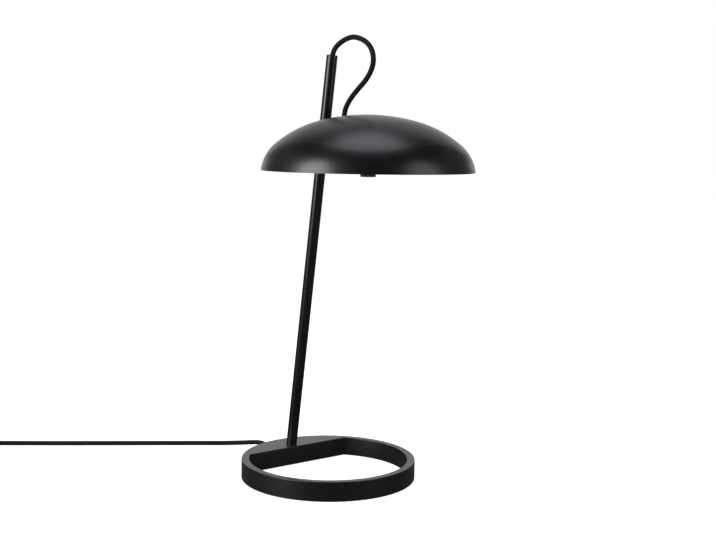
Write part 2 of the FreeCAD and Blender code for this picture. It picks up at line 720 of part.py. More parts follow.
def make_shell():
    """The spun shell, with the stem's slot and the cord's hole."""
    wall = size["shade_wall"]
    skirt = skirt_curve(size["shade_radius"], size["shoulder_edge"], shoulder_end)
    skirt_centre = size["shoulder_edge"] - skirt * shoulder_sine
    skirt_height = shoulder_end - skirt * shoulder_cosine
    skirt_inside = skirt - wall
    rim_inside = skirt_centre + root(skirt_inside * skirt_inside - skirt_height * skirt_height)
    shell = turned("shade_spun", [
        (0, size["shade_height"]), (size["crown_edge"], crown_end), (size["shoulder_edge"], shoulder_end),
        (size["shade_radius"], 0), (rim_inside, 0),
        (size["shoulder_edge"] - wall * shoulder_sine, shoulder_end - wall * shoulder_cosine),
        (size["crown_edge"] - wall * crown_sine, crown_end - wall * crown_cosine),
        (0, size["shade_height"] - wall)],
        {0: (size["crown_curve"], 1), 1: (size["shoulder_curve"], 1), 2: (skirt, 1),
         4: (skirt_inside, -1), 5: (size["shoulder_curve"] - wall, -1), 6: (size["crown_curve"] - wall, -1)})
    hinge = Placement(Vector(0, size["shade_reach"], size["pivot_rise"]), Rotation())
    half_width = size["stem_radius"] + size["slot_gap"]
    reach = size["shade_height"]
    tools = []
    for turn in (-size["tilt_limit"], size["tilt_limit"]):
        way = hinge * Placement(Vector(), Rotation(X_AXIS, size["stem_lean"] + turn))
        tools.append(moved(cylinder("slot_end", half_width, reach), way))
    wedge = new_body("slot_wedge")
    spread = reach * math.tan(math.radians(size["tilt_limit"]))
    fan = outline(wedge, "slot_fan", "YZ_Plane", [(0, 0), (spread, reach), (-spread, reach)])
    pad(wedge, "slot_middle", fan, half_width * 2, Midplane=True)
    wedge.Placement = hinge * Placement(Vector(), Rotation(X_AXIS, size["stem_lean"]))
    tools.append(wedge)
    entry = cylinder("entry_hole", GROMMET_NECK + FIT, 2 * ENTRY_CUT, (0, 0, -ENTRY_CUT))
    tools.append(moved(entry, entry_frame()))
    keep("shade_shell", cut("shell_cut", shell, *tools), SHADE)


def entry_frame():
    """The cord's hole, square to the shell, its origin on the outside."""
    curve = size["crown_curve"]
    sine = size["entry_setback"] / curve
    height = size["shade_height"] - curve * (1 - math.sqrt(1 - sine ** 2))
    slope = Rotation(X_AXIS, -math.degrees(math.asin(sine)))
    return Placement(Vector(0, size["entry_setback"], height), slope)


def make_grommet():
    """Rubber grommet: a lip on each side of the shell."""
    out = GAP
    inside = -size["shade_wall"] - GAP
    grommet = turned("grommet", [
        (GROMMET_BORE, inside - GROMMET_LIP), (GROMMET_FLANGE, inside - GROMMET_LIP),
        (GROMMET_FLANGE, inside), (GROMMET_NECK, inside), (GROMMET_NECK, out), (GROMMET_FLANGE, out),
        (GROMMET_FLANGE - GROMMET_EDGE, out + GROMMET_LIP), (GROMMET_BORE, out + GROMMET_LIP)])
    keep("cord_grommet", grommet, SHADE * entry_frame())


# ---------------------------------------------------------------------------
# Inside the shade: mounting plate, stand-offs, terminal block and dimmer
# ---------------------------------------------------------------------------
ARM_FRONT = 10  # where the fork's arms leave the disc
ARM_BACK = 66
ARM_WIDE = 30  # half width over the arms at the front
ARM_NARROW = 16  # half width over the arms at the back
EAR_FRONT = 31  # the ear's ends, counted from the pivot
EAR_SLOPE = EAR_FRONT / 3  # where its upper edge starts to slope
EAR_BACK = 8
EAR_LOW = 6  # below the pivot
EAR_CORNER = 9  # above the pivot, at the back
STUD_HOLE = 2.15
STUD_SIZE = 2
STUD_BELOW = 3.8
LEAD_HOLE = 2.5
LEAD_PLACE = (24, 20)  # holes for the lamps' leads, to each side and back
STANDOFF_ANGLES = (0, 120, 240)  # degrees from straight ahead
STANDOFF_NUT = 7  # across flats
STANDOFF_NUT_HEIGHT = 3
BLOCK_SIZE = (28, 12, 10)
BLOCK_PLACE = 20  # behind the shade's axis
WELL_RADIUS = 2  # screw wells in the terminal block
WELL_DEPTH = 2
SHAFT_SEAT = 8  # depth of the shaft's bore in the dimmer
TUBE_NUT = 14  # across flats
TUBE_NUT_HEIGHT = 3
TUBE_WALL = 1.5
plate_top = size["plate_rise"] + size["plate_thickness"]
tube_low = size["plate_rise"] - size["centre_tube_length"]


def make_plate():
    """Disc with a two-armed fork, whose ears carry the pivot screws."""
    rise = size["plate_rise"]
    thickness = size["plate_thickness"]
    reach = size["shade_reach"]
    height = size["pivot_rise"]
    disc = cylinder("plate_disc", size["plate_radius"], thickness, (0, 0, rise))
    arm = new_body("fork_arm")
    corners = [(ear_inner, ARM_FRONT), (ARM_WIDE, ARM_FRONT), (ARM_NARROW, ARM_BACK), (ear_inner, ARM_BACK)]
    pad(arm, "arm_plate", outline(arm, "arm_outline", "XY_Plane", corners), thickness)
    arm.Placement = Placement(Vector(0, 0, rise), Rotation())
    ear = new_body("fork_ear")
    corners = [
        (reach - EAR_FRONT, rise), (reach - EAR_FRONT, rise + thickness),
        (reach - EAR_SLOPE, rise + thickness), (reach + EAR_BACK, height + EAR_CORNER),
        (reach + EAR_BACK, height - EAR_LOW), (reach - EAR_BACK, height - EAR_LOW)]
    pad(ear, "ear_plate", outline(ear, "ear_outline", "YZ_Plane", corners), thickness)
    ear.Placement = Placement(Vector(ear_inner, 0, 0), Rotation())
    half = join("fork_half", arm, ear)
    other = doc.addObject("Part::Mirroring", "fork_other_half")
    other.Source = half
    other.Normal = X_AXIS
    tools = [cylinder("tube_hole", size["centre_tube_radius"] + 2 * FIT, thickness, (0, 0, rise))]
    for spot in standoff_spots(rise):
        tools.append(cylinder("stud_hole", STUD_HOLE, thickness, spot))
    for side in (-1, 1):
        tools.append(cylinder("lead_hole", LEAD_HOLE, thickness, (side * LEAD_PLACE[0], LEAD_PLACE[1], rise)))
    left_ear = (-ear_outer, reach, height)
    tools.append(cylinder("ear_hole", size["pivot_pin"] + FIT, 2 * ear_outer, left_ear, (1, 0, 0)))
    keep("mounting_plate", cut("plate_holed", join("plate_blank", disc, half, other), *tools), SHADE)


def standoff_spots(height):
    return [around(size["standoff_circle"], degrees, height, way=-1) for degrees in STANDOFF_ANGLES]


def make_standoffs():
    """Three stand-offs, welded under the crown, with studs and nuts that hold the plate."""
    crown = doc.addObject("Part::Sphere", "crown_inside")
    crown.Radius = float(size["crown_curve"] - size["shade_wall"])
    crown.setExpression("Radius", (size["crown_curve"] - size["shade_wall"]).formula)
    crown.Placement = Placement(Vector(0, 0, size["shade_height"] - size["crown_curve"]), Rotation())
    posts = []
    for spot in standoff_spots(plate_top):
        posts.append(cylinder("post", size["standoff_radius"], size["plate_rise"], spot))
    trimmed = common("posts_trimmed", join("posts", *posts), crown)
    low = size["plate_rise"] - STUD_BELOW
    studs = [cylinder("stud", STUD_SIZE, plate_top - low, spot) for spot in standoff_spots(low)]
    keep("standoffs", join("posts_and_studs", trimmed, *studs), SHADE)
    nut = hexagon("standoff_nut_blank", STANDOFF_NUT, STANDOFF_NUT_HEIGHT)
    bored = cut("standoff_nut", nut, cylinder("standoff_nut_hole", STUD_SIZE + FIT, STANDOFF_NUT_HEIGHT))
    spots = standoff_spots(size["plate_rise"] - STANDOFF_NUT_HEIGHT)
    copies("standoff_nuts", bored, [Placement(spot, Rotation()) for spot in spots], SHADE)


def make_terminal_block():
    block = box("terminal_blank", *BLOCK_SIZE, (0, BLOCK_PLACE, plate_top))
    screws = []
    for step in (-1, 0, 1):
        bottom = (step * BLOCK_SIZE[0] / 3, BLOCK_PLACE, plate_top + BLOCK_SIZE[2] - WELL_DEPTH)
        screws.append(cylinder("terminal_screw_well", WELL_RADIUS, WELL_DEPTH + CUT_MARGIN, bottom))
    keep("terminal_block", cut("terminal_bored", block, *screws), SHADE)


def make_dimmer():
    """Dimmer on the plate, the threaded tube under it, its nut, and the shaft's bore."""
    body = cylinder("dimmer_can", size["dimmer_radius"], size["dimmer_height"], (0, 0, plate_top))
    seat = cylinder("dimmer_seat", size["shaft_radius"] + FIT, SHAFT_SEAT, (0, 0, plate_top))
    keep("dimmer_body", cut("dimmer_bored", body, seat), SHADE)
    length = plate_top - tube_low
    tube = cylinder("tube_outside", size["centre_tube_radius"], length, (0, 0, tube_low))
    bore = cylinder("tube_bore", size["centre_tube_radius"] - TUBE_WALL, length, (0, 0, tube_low))
    keep("centre_tube", cut("tube_bored", tube, bore), SHADE)
    keep("tube_nut", tube_nut("tube_nut", size["plate_rise"] - TUBE_NUT_HEIGHT), SHADE)


def tube_nut(name, height):
    """A nut on the centre tube."""
    nut = hexagon(name + "_blank", TUBE_NUT, TUBE_NUT_HEIGHT, (0, 0, height))
    hole = cylinder(name + "_hole", size["centre_tube_radius"] + FIT, TUBE_NUT_HEIGHT, (0, 0, height))
    return cut(name + "_bored", nut, hole)


def make_diffuser():
    """Opal disc, held between two nuts on the tube."""
    rise = size["diffuser_rise"]
    thickness = size["diffuser_thickness"]
    disc = cylinder("diffuser_disc", size["diffuser_radius"], thickness, (0, 0, rise))
    hole = cylinder("diffuser_hole", size["centre_tube_radius"] + 2 * FIT, thickness, (0, 0, rise))
    keep("diffuser", cut("diffuser_bored", disc, hole), SHADE)
    above = tube_nut("nut_above", rise + thickness)
    below = tube_nut("nut_below", rise - TUBE_NUT_HEIGHT)
    keep("diffuser_nuts", join("both_nuts", above, below), SHADE)


# ---------------------------------------------------------------------------
# Lampholders, capsule lamps and their leads
# ---------------------------------------------------------------------------
FOOT_WIDTH = 14  # lampholder's foot under the plate
LAMP_SEAT = 6  # how deep a lamp sits in its holder
LEAD_RADIUS = 1.1
LEAD_BEND = 4
LEAD_RISE = 5  # of the lead's end in the terminal block
HOLDER_GAP = 0.5  # between the holder's barrel and the plate
lamp_height = size["plate_rise"] - size["holder_radius"] - HOLDER_GAP


def make_lamps():
    """A lampholder and a capsule lamp to each side."""
    for side, hand in ((-1, "left"), (1, "right")):
        way = Placement(Vector(0, 0, lamp_height), Rotation(Z_AXIS, 0 if side == 1 else 180))
        start = size["holder_start"]
        length = size["holder_length"]
        can = moved(cylinder("holder_can", size["holder_radius"], length, (start, 0, 0), (1, 0, 0)), way)
        rise = size["plate_rise"] - lamp_height
        foot = moved(box("holder_foot", length, FOOT_WIDTH, rise, (start + length / 2, 0, 0)), way)
        mouth_start = (start + length - LAMP_SEAT, 0, 0)
        mouth = cylinder("holder_mouth", size["bulb_radius"] + FIT, LAMP_SEAT, mouth_start, (1, 0, 0))
        holder = cut("holder", join("holder_blank", can, foot), moved(mouth, way))
        keep(f"lampholder_{hand}", holder, SHADE)
        reach = size["bulb_length"] + LAMP_SEAT - size["bulb_radius"]
        glass = cylinder("lamp_glass", size["bulb_radius"], reach, mouth_start, (1, 0, 0))
        dome = doc.addObject("Part::Sphere", "lamp_dome")
        dome.Radius = float(size["bulb_radius"])
        dome.setExpression("Radius", size["bulb_radius"].formula)
        dome.Placement = Placement(Vector(mouth_start[0] + reach, 0, 0), Rotation())
        keep(f"bulb_{hand}", join("lamp", moved(glass, way), moved(dome, way)), SHADE)


def make_leads():
    """A lead from the terminal block down through the plate to each lampholder."""
    tubes = []
    for side in (-1, 1):
        out = side * LEAD_PLACE[0]
        high = plate_top + LEAD_RISE
        points = [
            Vector(side * BLOCK_SIZE[0] / 2, LEAD_PLACE[1], high), Vector(out, LEAD_PLACE[1], high),
            Vector(out, LEAD_PLACE[1], lamp_height), Vector(out, size["holder_radius"], lamp_height)]
        tubes.append(swept(rounded_route(points, LEAD_BEND)[0], LEAD_RADIUS)[0])
    leads = doc.addObject("Part::Feature", "lamp_leads")
    leads.Shape = Part.makeCompound(tubes)
    keep("lamp_leads", leads, SHADE)


# ---------------------------------------------------------------------------
# Knob and its shaft
# ---------------------------------------------------------------------------
KNOB_ROUND = 1
KNOB_SEAT = 7.2  # depth of the shaft's bore in the knob


def make_knob():
    """Small round knob on the dimmer's shaft, under the middle of the shade."""
    low = -size["knob_drop"]
    top = low + size["knob_height"]
    bore = size["shaft_radius"] + FIT
    knob = turned("knob", [
        (0, low), (size["knob_radius"] - KNOB_ROUND, low), (size["knob_radius"], low + KNOB_ROUND),
        (size["knob_radius"], top), (bore, top), (bore, top - KNOB_SEAT), (0, top - KNOB_SEAT)],
        {1: (KNOB_ROUND, -1)})
    keep("dimmer_knob", knob, SHADE)
    foot = top - KNOB_SEAT + GAP
    length = plate_top + SHAFT_SEAT - GAP - foot
    shaft_frame = SHADE * Placement(Vector(0, 0, foot), Rotation())
    keep("dimmer_shaft", cylinder("shaft", size["shaft_radius"], length), shaft_frame)


# ---------------------------------------------------------------------------
# Cord: through base and stem, in a loop over into the shade, and away over the desk
# ---------------------------------------------------------------------------
GLAND_FLANGE = 4.5
GLAND_FLANGE_THICKNESS = 1.5
TIP_RADIUS = 3.6  # the gland's far end
WALL_CLEARANCE = 0.2
LOOP_POINTS = (  # y and z from the stem's top, on the lamp's middle plane, over and down to the shade
    (-0.2, 1.6), (-5.2, 8.4), (-12.2, 12.6), (-23.2, 16.6), (-37.8, 18.6), (-56.1, 13.5),
    (-66.9, 5.7), (-71.5, -5.1), (-68.8, -15.9), (-59.6, -26.3), (-46.9, -34.8), (-35.5, -43.1),
    (-28.0, -50.6), (-23.4, -57.6))
SHADE_CORD_POINTS = ((43.3, 48.0), (39.3, 42.0), (32.5, 40.0))  # y and z in the shade's frame
DESK_POINTS = (  # from the gland's tip down to the desk and away; z is the height over the desk
    (0.8, 9.1, 7.2), (1.4, 17.2, 6.8), (-0.9, 25.3, 5.9), (-6.6, 33.0, 4.8), (-14.5, 41.0, 3.8),
    (-27.7, 51.9, 3.0), (-48.4, 67.2, 2.7), (-77.1, 86.8, 2.7), (-127.0, 120.3, 2.7), (-190.0, 162.9, 2.7))
LAST_RUN = 40  # straight into the coil
COIL_CENTRE = (-306, 198)  # from the gland's tip
COIL_START = 53.07  # degrees
TURNS_IN = 3
TURNS_CLIMB = 0.5
TURNS_OUT = 3.5
TAIL_POINTS = ((-295.2, 241.3, 8.6), (-306.0, 248.5, 7.7), (-317.1, 255.2, 7.0), (-327.6, 261.1, 7.0))


def make_gland():
    """Strain relief: a flange inside the ring's wall and a tapered sleeve outside."""
    bore = size["cord_radius"] + FIT
    wall = size["base_wall"]
    back = -GLAND_FLANGE_THICKNESS - WALL_CLEARANCE
    tip = wall + size["gland_length"]
    gland = turned("gland", [
        (bore, back), (GLAND_FLANGE, back), (GLAND_FLANGE, -WALL_CLEARANCE), (NECK_RADIUS, -WALL_CLEARANCE),
        (NECK_RADIUS, wall), (GLAND_FLANGE, wall), (TIP_RADIUS, tip), (bore, tip)])
    way = Placement(Vector(0, ring_y + base_inner, size["exit_height"]), Rotation(X_AXIS, -90))
    keep("cord_gland", gland, way)


def on_stem(along):
    return STEM.multVec(Vector(0, 0, along))


def over_grommet(gap=0.0):
    """The middle of the grommet's top, or a gap over it."""
    return (SHADE * entry_frame()).multVec(Vector(0, 0, GAP + GROMMET_LIP + gap))


def make_cords():
    """The cord's stretches, end to end."""
    radius = size["cord_radius"]
    height = size["exit_height"]
    corner = on_stem((height - base_top) / math.cos(lean))
    bush_foot = on_stem(size["stem_length"] - BUSH_DEPTH)
    gland_inside = Vector(0, ring_y + base_inner - GLAND_FLANGE_THICKNESS - WALL_CLEARANCE, height)
    cord("inner_cord", [gland_inside, corner, bush_foot], radius, size["inner_bend"])
    over = [STEM_TOP + Vector(0, y, z) for y, z in LOOP_POINTS]
    cord("loop_cord", [bush_foot, *over, over_grommet(GAP)], radius)
    inside = [SHADE.multVec(Vector(0, y, z)) for y, z in SHADE_CORD_POINTS]
    block_back = SHADE.multVec(Vector(0, BLOCK_PLACE + BLOCK_SIZE[1] / 2, plate_top + BLOCK_SIZE[2] / 2))
    cord("shade_cord", [over_grommet(), *inside, block_back], radius)
    start, way = coil_point(0)
    coil_end = start - way * 2 * radius
    desk = [GLAND_TIP + Vector(*point) for point in DESK_POINTS]
    leaving = GLAND_TIP + Vector(0, 0, height)
    cord("mains_cord", [leaving, *desk, coil_end - way * LAST_RUN, coil_end], radius)
    make_coil()
    end, way = coil_point(TURNS_IN + TURNS_CLIMB + TURNS_OUT)
    tail = [GLAND_TIP + Vector(*point) for point in TAIL_POINTS]
    cord("cord_tail", [end + way * 2 * radius, *tail], radius)


def coil_point(turns):
    """Place and direction on the coil: in along the desk, up half a turn, out on top."""
    pitch = size["coil_pitch"]
    inner = size["coil_inner"]
    low = size["cord_radius"]
    per_turn = 2 * math.pi
    angle = math.radians(COIL_START) + per_turn * turns
    if turns <= TURNS_IN:
        radius = inner + pitch * (TURNS_IN - turns)
        swing = -pitch / per_turn
        height = low
        climb = 0
    elif turns < TURNS_IN + TURNS_CLIMB:
        share = (turns - TURNS_IN) / TURNS_CLIMB * math.pi
        radius = inner - pitch / per_turn * math.sin(share)
        swing = -pitch / per_turn * math.cos(share)
        height = low + pitch * (1 - math.cos(share)) / 2
        climb = pitch * math.sin(share) / 2
    else:
        radius = inner + pitch * (turns - TURNS_IN - TURNS_CLIMB)
        swing = pitch / per_turn
        height = low + pitch
        climb = 0
    out = Vector(math.cos(angle), math.sin(angle), 0)
    ahead = Vector(-math.sin(angle), math.cos(angle), 0)
    place = GLAND_TIP + Vector(*COIL_CENTRE, height) + out * radius
    way = out * swing + ahead * radius + Z_AXIS * climb
    return place, way.normalize()


def make_coil():
    """The cord's spare length as one unbroken tube, in biarcs of a quarter turn."""
    radius = size["cord_radius"]
    quarters = int(4 * (TURNS_IN + TURNS_CLIMB + TURNS_OUT))
    stops = [coil_point(i / 4) for i in range(quarters + 1)]
    first, first_way = stops[0]
    last, last_way = stops[-1]
    edges = [Part.LineSegment(first - first_way * 2 * radius, first).toShape()]
    for (start, start_way), (end, end_way) in zip(stops, stops[1:]):
        edges += biarc(start, start_way, end, end_way)
    edges.append(Part.LineSegment(last, last + last_way * 2 * radius).toShape())
    wire = Part.Wire(edges)
    tube, share = swept(wire, radius)
    print(f"mains_cord_coil: {wire.Length:.1f} mm, volume / (section x length) = {share:.4f}")
    print(f"  least gap to itself {least_gap(wire, radius):.2f} mm")
    piece = doc.addObject("Part::Feature", "mains_cord_coil")
    piece.Shape = tube
    keep("mains_cord_coil", piece)


def least_gap(wire, radius):
    """Smallest gap of a tube to itself, from points 2 mm apart along its wire."""
    points = wire.discretize(Distance=2)
    apart = 12  # points to skip, so that a turn isn't compared with itself
    nearest = min(a.distanceToPoint(b) for i, a in enumerate(points) for b in points[i + apart:])
    return nearest - 2 * radius


# ---------------------------------------------------------------------------
# Plug
# ---------------------------------------------------------------------------
RELIEF_LENGTH = 20
RELIEF_START = 3.5
RELIEF_END = 4.5
PLUG_REAR = 12  # width at the rear
PLUG_TAPER = 14  # length over which it widens
PLUG_ROUND = 3
PIN_RADIUS = 2
PIN_LENGTH = 19
PIN_SEAT = 6
PIN_SPACING = 19


def make_plug():
    """Flat two-pin plug with a tapered relief, lying on the desk."""
    before, end = (GLAND_TIP + Vector(*point) for point in TAIL_POINTS[-2:])
    way = (end - before).normalize()
    heading = math.degrees(math.atan2(way.y, way.x)) - 90
    frame = Placement(end, Rotation(Z_AXIS, heading))
    body = new_body("plug_moulding")
    width = size["plug_width"] / 2
    rear = PLUG_REAR / 2
    front = size["plug_length"]
    corners = [
        (-rear, 0), (rear, 0), (width, PLUG_TAPER), (width, front), (-width, front), (-width, PLUG_TAPER)]
    sketch = outline(body, "plug_outline", "XY_Plane", corners)
    pad(body, "plug_block", sketch, size["plug_thickness"], Midplane=True)
    round_edges(body, "plug_rounded", PLUG_ROUND, lambda edge: edge.BoundBox.YMin < front - 1)
    body.Placement = Placement(Vector(0, RELIEF_LENGTH, 0), Rotation())
    relief = cone("plug_relief", RELIEF_START, RELIEF_END, RELIEF_LENGTH, (0, 0, 0), (0, 1, 0))
    tip = RELIEF_LENGTH + front
    holes = []
    pins = []
    for side in (-1, 1):
        place = (side * PIN_SPACING / 2, tip - PIN_SEAT, 0)
        holes.append(cylinder("pin_hole", PIN_RADIUS + FIT, PIN_SEAT, place, (0, 1, 0)))
        shaft = cylinder("pin_shaft", PIN_RADIUS, PIN_SEAT + PIN_LENGTH - PIN_RADIUS / 2, place, (0, 1, 0))
        nose_at = (place[0], tip + PIN_LENGTH - PIN_RADIUS / 2, 0)
        nose = cone("pin_nose", PIN_RADIUS, PIN_RADIUS / 2, PIN_RADIUS / 2, nose_at, (0, 1, 0))
        pins += [shaft, nose]
    keep("plug_body", cut("plug", join("plug_blank", body, relief), *holes), frame)
    keep("plug_pins", join("pins", *pins), frame)


# ---------------------------------------------------------------------------
# Build, test and write
# ---------------------------------------------------------------------------
def write_parts():
    """Tests every object and every sub-part's shape, then writes one file for each."""
    doc.recompute()
    failed = [thing.Name for thing in doc.Objects if {"Invalid", "Error"} & set(thing.State)]
    if failed:
        raise RuntimeError("failed objects: " + ", ".join(failed))
    for node, piece in pieces.items():
        if piece.Shape.isNull() or not piece.Shape.isValid() or not piece.Shape.Solids:
            raise RuntimeError(f"{node} has no valid shape")
    os.makedirs("parts", exist_ok=True)
    for node, piece in pieces.items():
        piece.Shape.exportStep(f"parts/{node}.step")
        print(f"{node}: {len(piece.Shape.Solids)} solids, {piece.Shape.Volume:.0f} mm3")


make_base_ring()
make_cover()
make_stem()
make_slider()
make_shell()
make_grommet()
make_plate()
make_standoffs()
make_terminal_block()
make_dimmer()
make_diffuser()
make_lamps()
make_leads()
make_knob()
make_gland()
make_cords()
make_plug()
write_parts()
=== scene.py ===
# %% [markdown]
# # A desk lamp with a dome shade
# The lamp stands on a weighted ring. A thin stem leans forward from the ring's back, and the shade hangs
# on a slider that runs on it. Most pieces come from the CAD model, which loads as a fixed frame.
# What this script adds is what CAD is poor at: the textile cord, the moulded rubber and plastic, the opal
# disc's soft edge, and every finish.

# %% The CAD model as the frame
import json
import math

import bmesh
import bpy
from mathutils import Matrix, Vector


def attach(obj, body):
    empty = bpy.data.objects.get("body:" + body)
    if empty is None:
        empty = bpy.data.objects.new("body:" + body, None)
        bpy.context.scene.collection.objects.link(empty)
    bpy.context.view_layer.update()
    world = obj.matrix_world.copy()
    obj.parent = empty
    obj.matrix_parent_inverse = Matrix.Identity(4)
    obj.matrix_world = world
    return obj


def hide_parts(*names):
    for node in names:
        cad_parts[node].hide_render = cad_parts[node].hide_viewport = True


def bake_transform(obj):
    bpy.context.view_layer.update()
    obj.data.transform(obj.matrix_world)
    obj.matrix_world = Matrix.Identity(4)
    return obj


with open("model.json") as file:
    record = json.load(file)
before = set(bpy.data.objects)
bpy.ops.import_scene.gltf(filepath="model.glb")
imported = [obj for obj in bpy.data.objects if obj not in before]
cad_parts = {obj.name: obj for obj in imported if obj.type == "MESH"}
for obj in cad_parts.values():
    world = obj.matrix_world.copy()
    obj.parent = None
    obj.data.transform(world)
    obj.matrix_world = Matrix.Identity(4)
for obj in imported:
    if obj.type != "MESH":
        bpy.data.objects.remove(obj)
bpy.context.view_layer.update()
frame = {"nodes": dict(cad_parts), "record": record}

nodes = frame["nodes"]
MM = 0.001

# %% [markdown]
# ## Camera
# The camera stands where the photographer stood: a little over a metre away, to the lamp's front left,
# just above the shade's rim, looking slightly down. The picture is rolled by less than a degree. An aim
# and a roll say this more plainly than three angles would, so the rotation is made from those two.

# %% Camera
CAMERA_PLACE = Vector((-0.7360, -0.96403, 0.36819))
CAMERA_AIM = Vector((0.6068, 0.7870, -0.1117))
CAMERA_ROLL = math.radians(0.86)
CAMERA_LENS = 58.31
SENSOR_WIDTH = 36

camera_data = bpy.data.cameras.new("camera")
camera_data.lens = CAMERA_LENS
camera_data.sensor_width = SENSOR_WIDTH
camera = bpy.data.objects.new("camera", camera_data)
camera_turn = CAMERA_AIM.to_track_quat("-Z", "Y").to_matrix() @ Matrix.Rotation(CAMERA_ROLL, 3, "Z")
camera.matrix_world = Matrix.LocRotScale(CAMERA_PLACE, camera_turn, None)
bpy.context.scene.collection.objects.link(camera)
bpy.context.scene.camera = camera
bpy.context.scene.view_settings.view_transform = "Standard"
print(f"camera: {camera_data.lens} mm lens, {CAMERA_PLACE.length:.2f} m from the origin")

# %% [markdown]
# ## Places that the pieces share
# Each piece is made in the frame of what carries it, in millimetres, as on a workshop drawing. A frame is a
# matrix: where its origin stands and how it is turned. The shade's frame lies in the rim's plane, on the
# shade's axis. The stem's frame stands on the stem's top and leans with it.

# %% Frames
STEM_TOP = Vector((0, 40.93, 455.46)) * MM
STEM_LEAN = 9.1
SHADE_RIM = Vector((0, -24.020, 336.019)) * MM
GROMMET_IN_SHADE = Vector((0, 42.2, 53.155)) * MM
GROMMET_LEAN = -12.56
GLAND_HOLE = Vector((0, 125.52, 7.2)) * MM
GLAND_TIP = Vector((0, 160.02, 0)) * MM


def frame_at(place, degrees=0):
    """A frame that stands at a place, turned about X."""
    return Matrix.Translation(place) @ Matrix.Rotation(math.radians(degrees), 4, "X")


on_stem_top = frame_at(STEM_TOP, STEM_LEAN)
in_shade = frame_at(SHADE_RIM)
on_crown = in_shade @ frame_at(GROMMET_IN_SHADE, GROMMET_LEAN)
in_wall = frame_at(GLAND_HOLE, -90)
print("grommet at", tuple(round(v, 4) for v in on_crown.translation))

# %% [markdown]
# ## The cord's line
# A braided cord is one long bend after another, never a chain of straight runs. A NURBS spline through a
# handful of control points gives that: with order 3 each stretch is a smooth piece that only leans
# towards its points. A Bezier spline would need a handle at each point, and a simulated cord would not
# stay where the photograph shows it.

# %% A smooth line through control points
CORD_RADIUS = 2.7 * MM
LINE_ORDER = 3
LINE_FINENESS = 24


def smooth_line(name, points):
    """A NURBS curve with these control points; order and end points are set after the points exist."""
    curve = bpy.data.curves.new(name, "CURVE")
    curve.dimensions = "3D"
    curve.resolution_u = LINE_FINENESS
    spline = curve.splines.new("NURBS")
    spline.points.add(len(points) - 1)
    for control, place in zip(spline.points, points):
        control.co = (*place, 1)
    spline.order_u = LINE_ORDER
    spline.use_endpoint_u = True
    return curve


def even_points(curve, step):
    """Points on the curve, about a step apart."""
    holder = bpy.data.objects.new("line", curve)
    bpy.context.scene.collection.objects.link(holder)
    bpy.context.view_layer.update()
    mesh = bpy.data.meshes.new_from_object(holder)
    fine = [vertex.co.copy() for vertex in mesh.vertices]
    bpy.data.objects.remove(holder)
    bpy.data.meshes.remove(mesh)
    lengths = [0.0]
    for before, after in zip(fine, fine[1:]):
        lengths.append(lengths[-1] + (after - before).length)
    count = max(2, round(lengths[-1] / step))
    points = []
    reached = 0
    for i in range(count + 1):
        goal = lengths[-1] * i / count
        while reached < len(fine) - 2 and lengths[reached + 1] < goal:
            reached += 1
        span = lengths[reached + 1] - lengths[reached]
        share = (goal - lengths[reached]) / span if span else 0
        points.append(fine[reached].lerp(fine[reached + 1], share))
    return points


def line_length(points):
    """The length of a line through these points, in metres."""
    return sum((after - before).length for before, after in zip(points, points[1:]))


# %% [markdown]
# ## A tube with a sleeve of braid
# A curve's own bevel would do for the shape, but the braid needs texture coordinates that run round and
# along the cord. So the tube is a mesh, one ring of vertices at each point. Each ring's frame is carried
# on from the ring before it, which keeps the braid from twisting where the cord bends.

# %% From a mesh to a piece
SHARP = math.radians(50)


def link(name, mesh):
    """An object with this mesh, in the scene."""
    thing = bpy.data.objects.new(name, mesh)
    bpy.context.scene.collection.objects.link(thing)
    return thing


def piece_of(name, made):
    """Makes a bmesh into a piece, with a crease wherever an edge is steeper than SHARP."""
    mesh = bpy.data.meshes.new(name)
    made.to_mesh(mesh)
    made.free()
    mesh.set_sharp_from_angle(angle=SHARP)
    return link(name, mesh)


# %% Tube mesh along a line
TUBE_SIDES = 20
FIRST_SIDE = Vector((1, 0, 0))


def carried_frames(points):
    """The line's way and a side vector at each point, turned no more than the line itself turns."""
    ways = []
    for i in range(len(points)):
        ways.append((points[min(i + 1, len(points) - 1)] - points[max(i - 1, 0)]).normalized())
    side = FIRST_SIDE
    sides = []
    for way in ways:
        side = (side - way * side.dot(way)).normalized()
        sides.append(side)
    return ways, sides


def tube(name, points, radius, along=0.0):
    """A round tube; its UV map runs once round and, at the same scale, along, from a given start."""
    ways, sides = carried_frames(points)
    made = bmesh.new()
    uv = made.loops.layers.uv.new("around_along")
    rings = []
    for place, way, side in zip(points, ways, sides):
        up = way.cross(side)
        ring = []
        for i in range(TUBE_SIDES):
            angle = math.tau * i / TUBE_SIDES
            ring.append(made.verts.new(place + (side * math.cos(angle) + up * math.sin(angle)) * radius))
        rings.append(ring)
    for i, (ring, following) in enumerate(zip(rings, rings[1:])):
        ahead = along + (points[i + 1] - points[i]).length / (math.tau * radius)
        for j in range(TUBE_SIDES):
            k = (j + 1) % TUBE_SIDES
            face = made.faces.new((ring[j], ring[k], following[k], following[j]))
            face.smooth = True
            around = (j / TUBE_SIDES, (j + 1) / TUBE_SIDES)
            corners = ((around[0], along), (around[1], along), (around[1], ahead), (around[0], ahead))
            for loop, corner in zip(face.loops, corners):
                loop[uv].uv = corner
        along = ahead
    made.faces.new(reversed(rings[0]))
    made.faces.new(rings[-1])
    return piece_of(name, made)


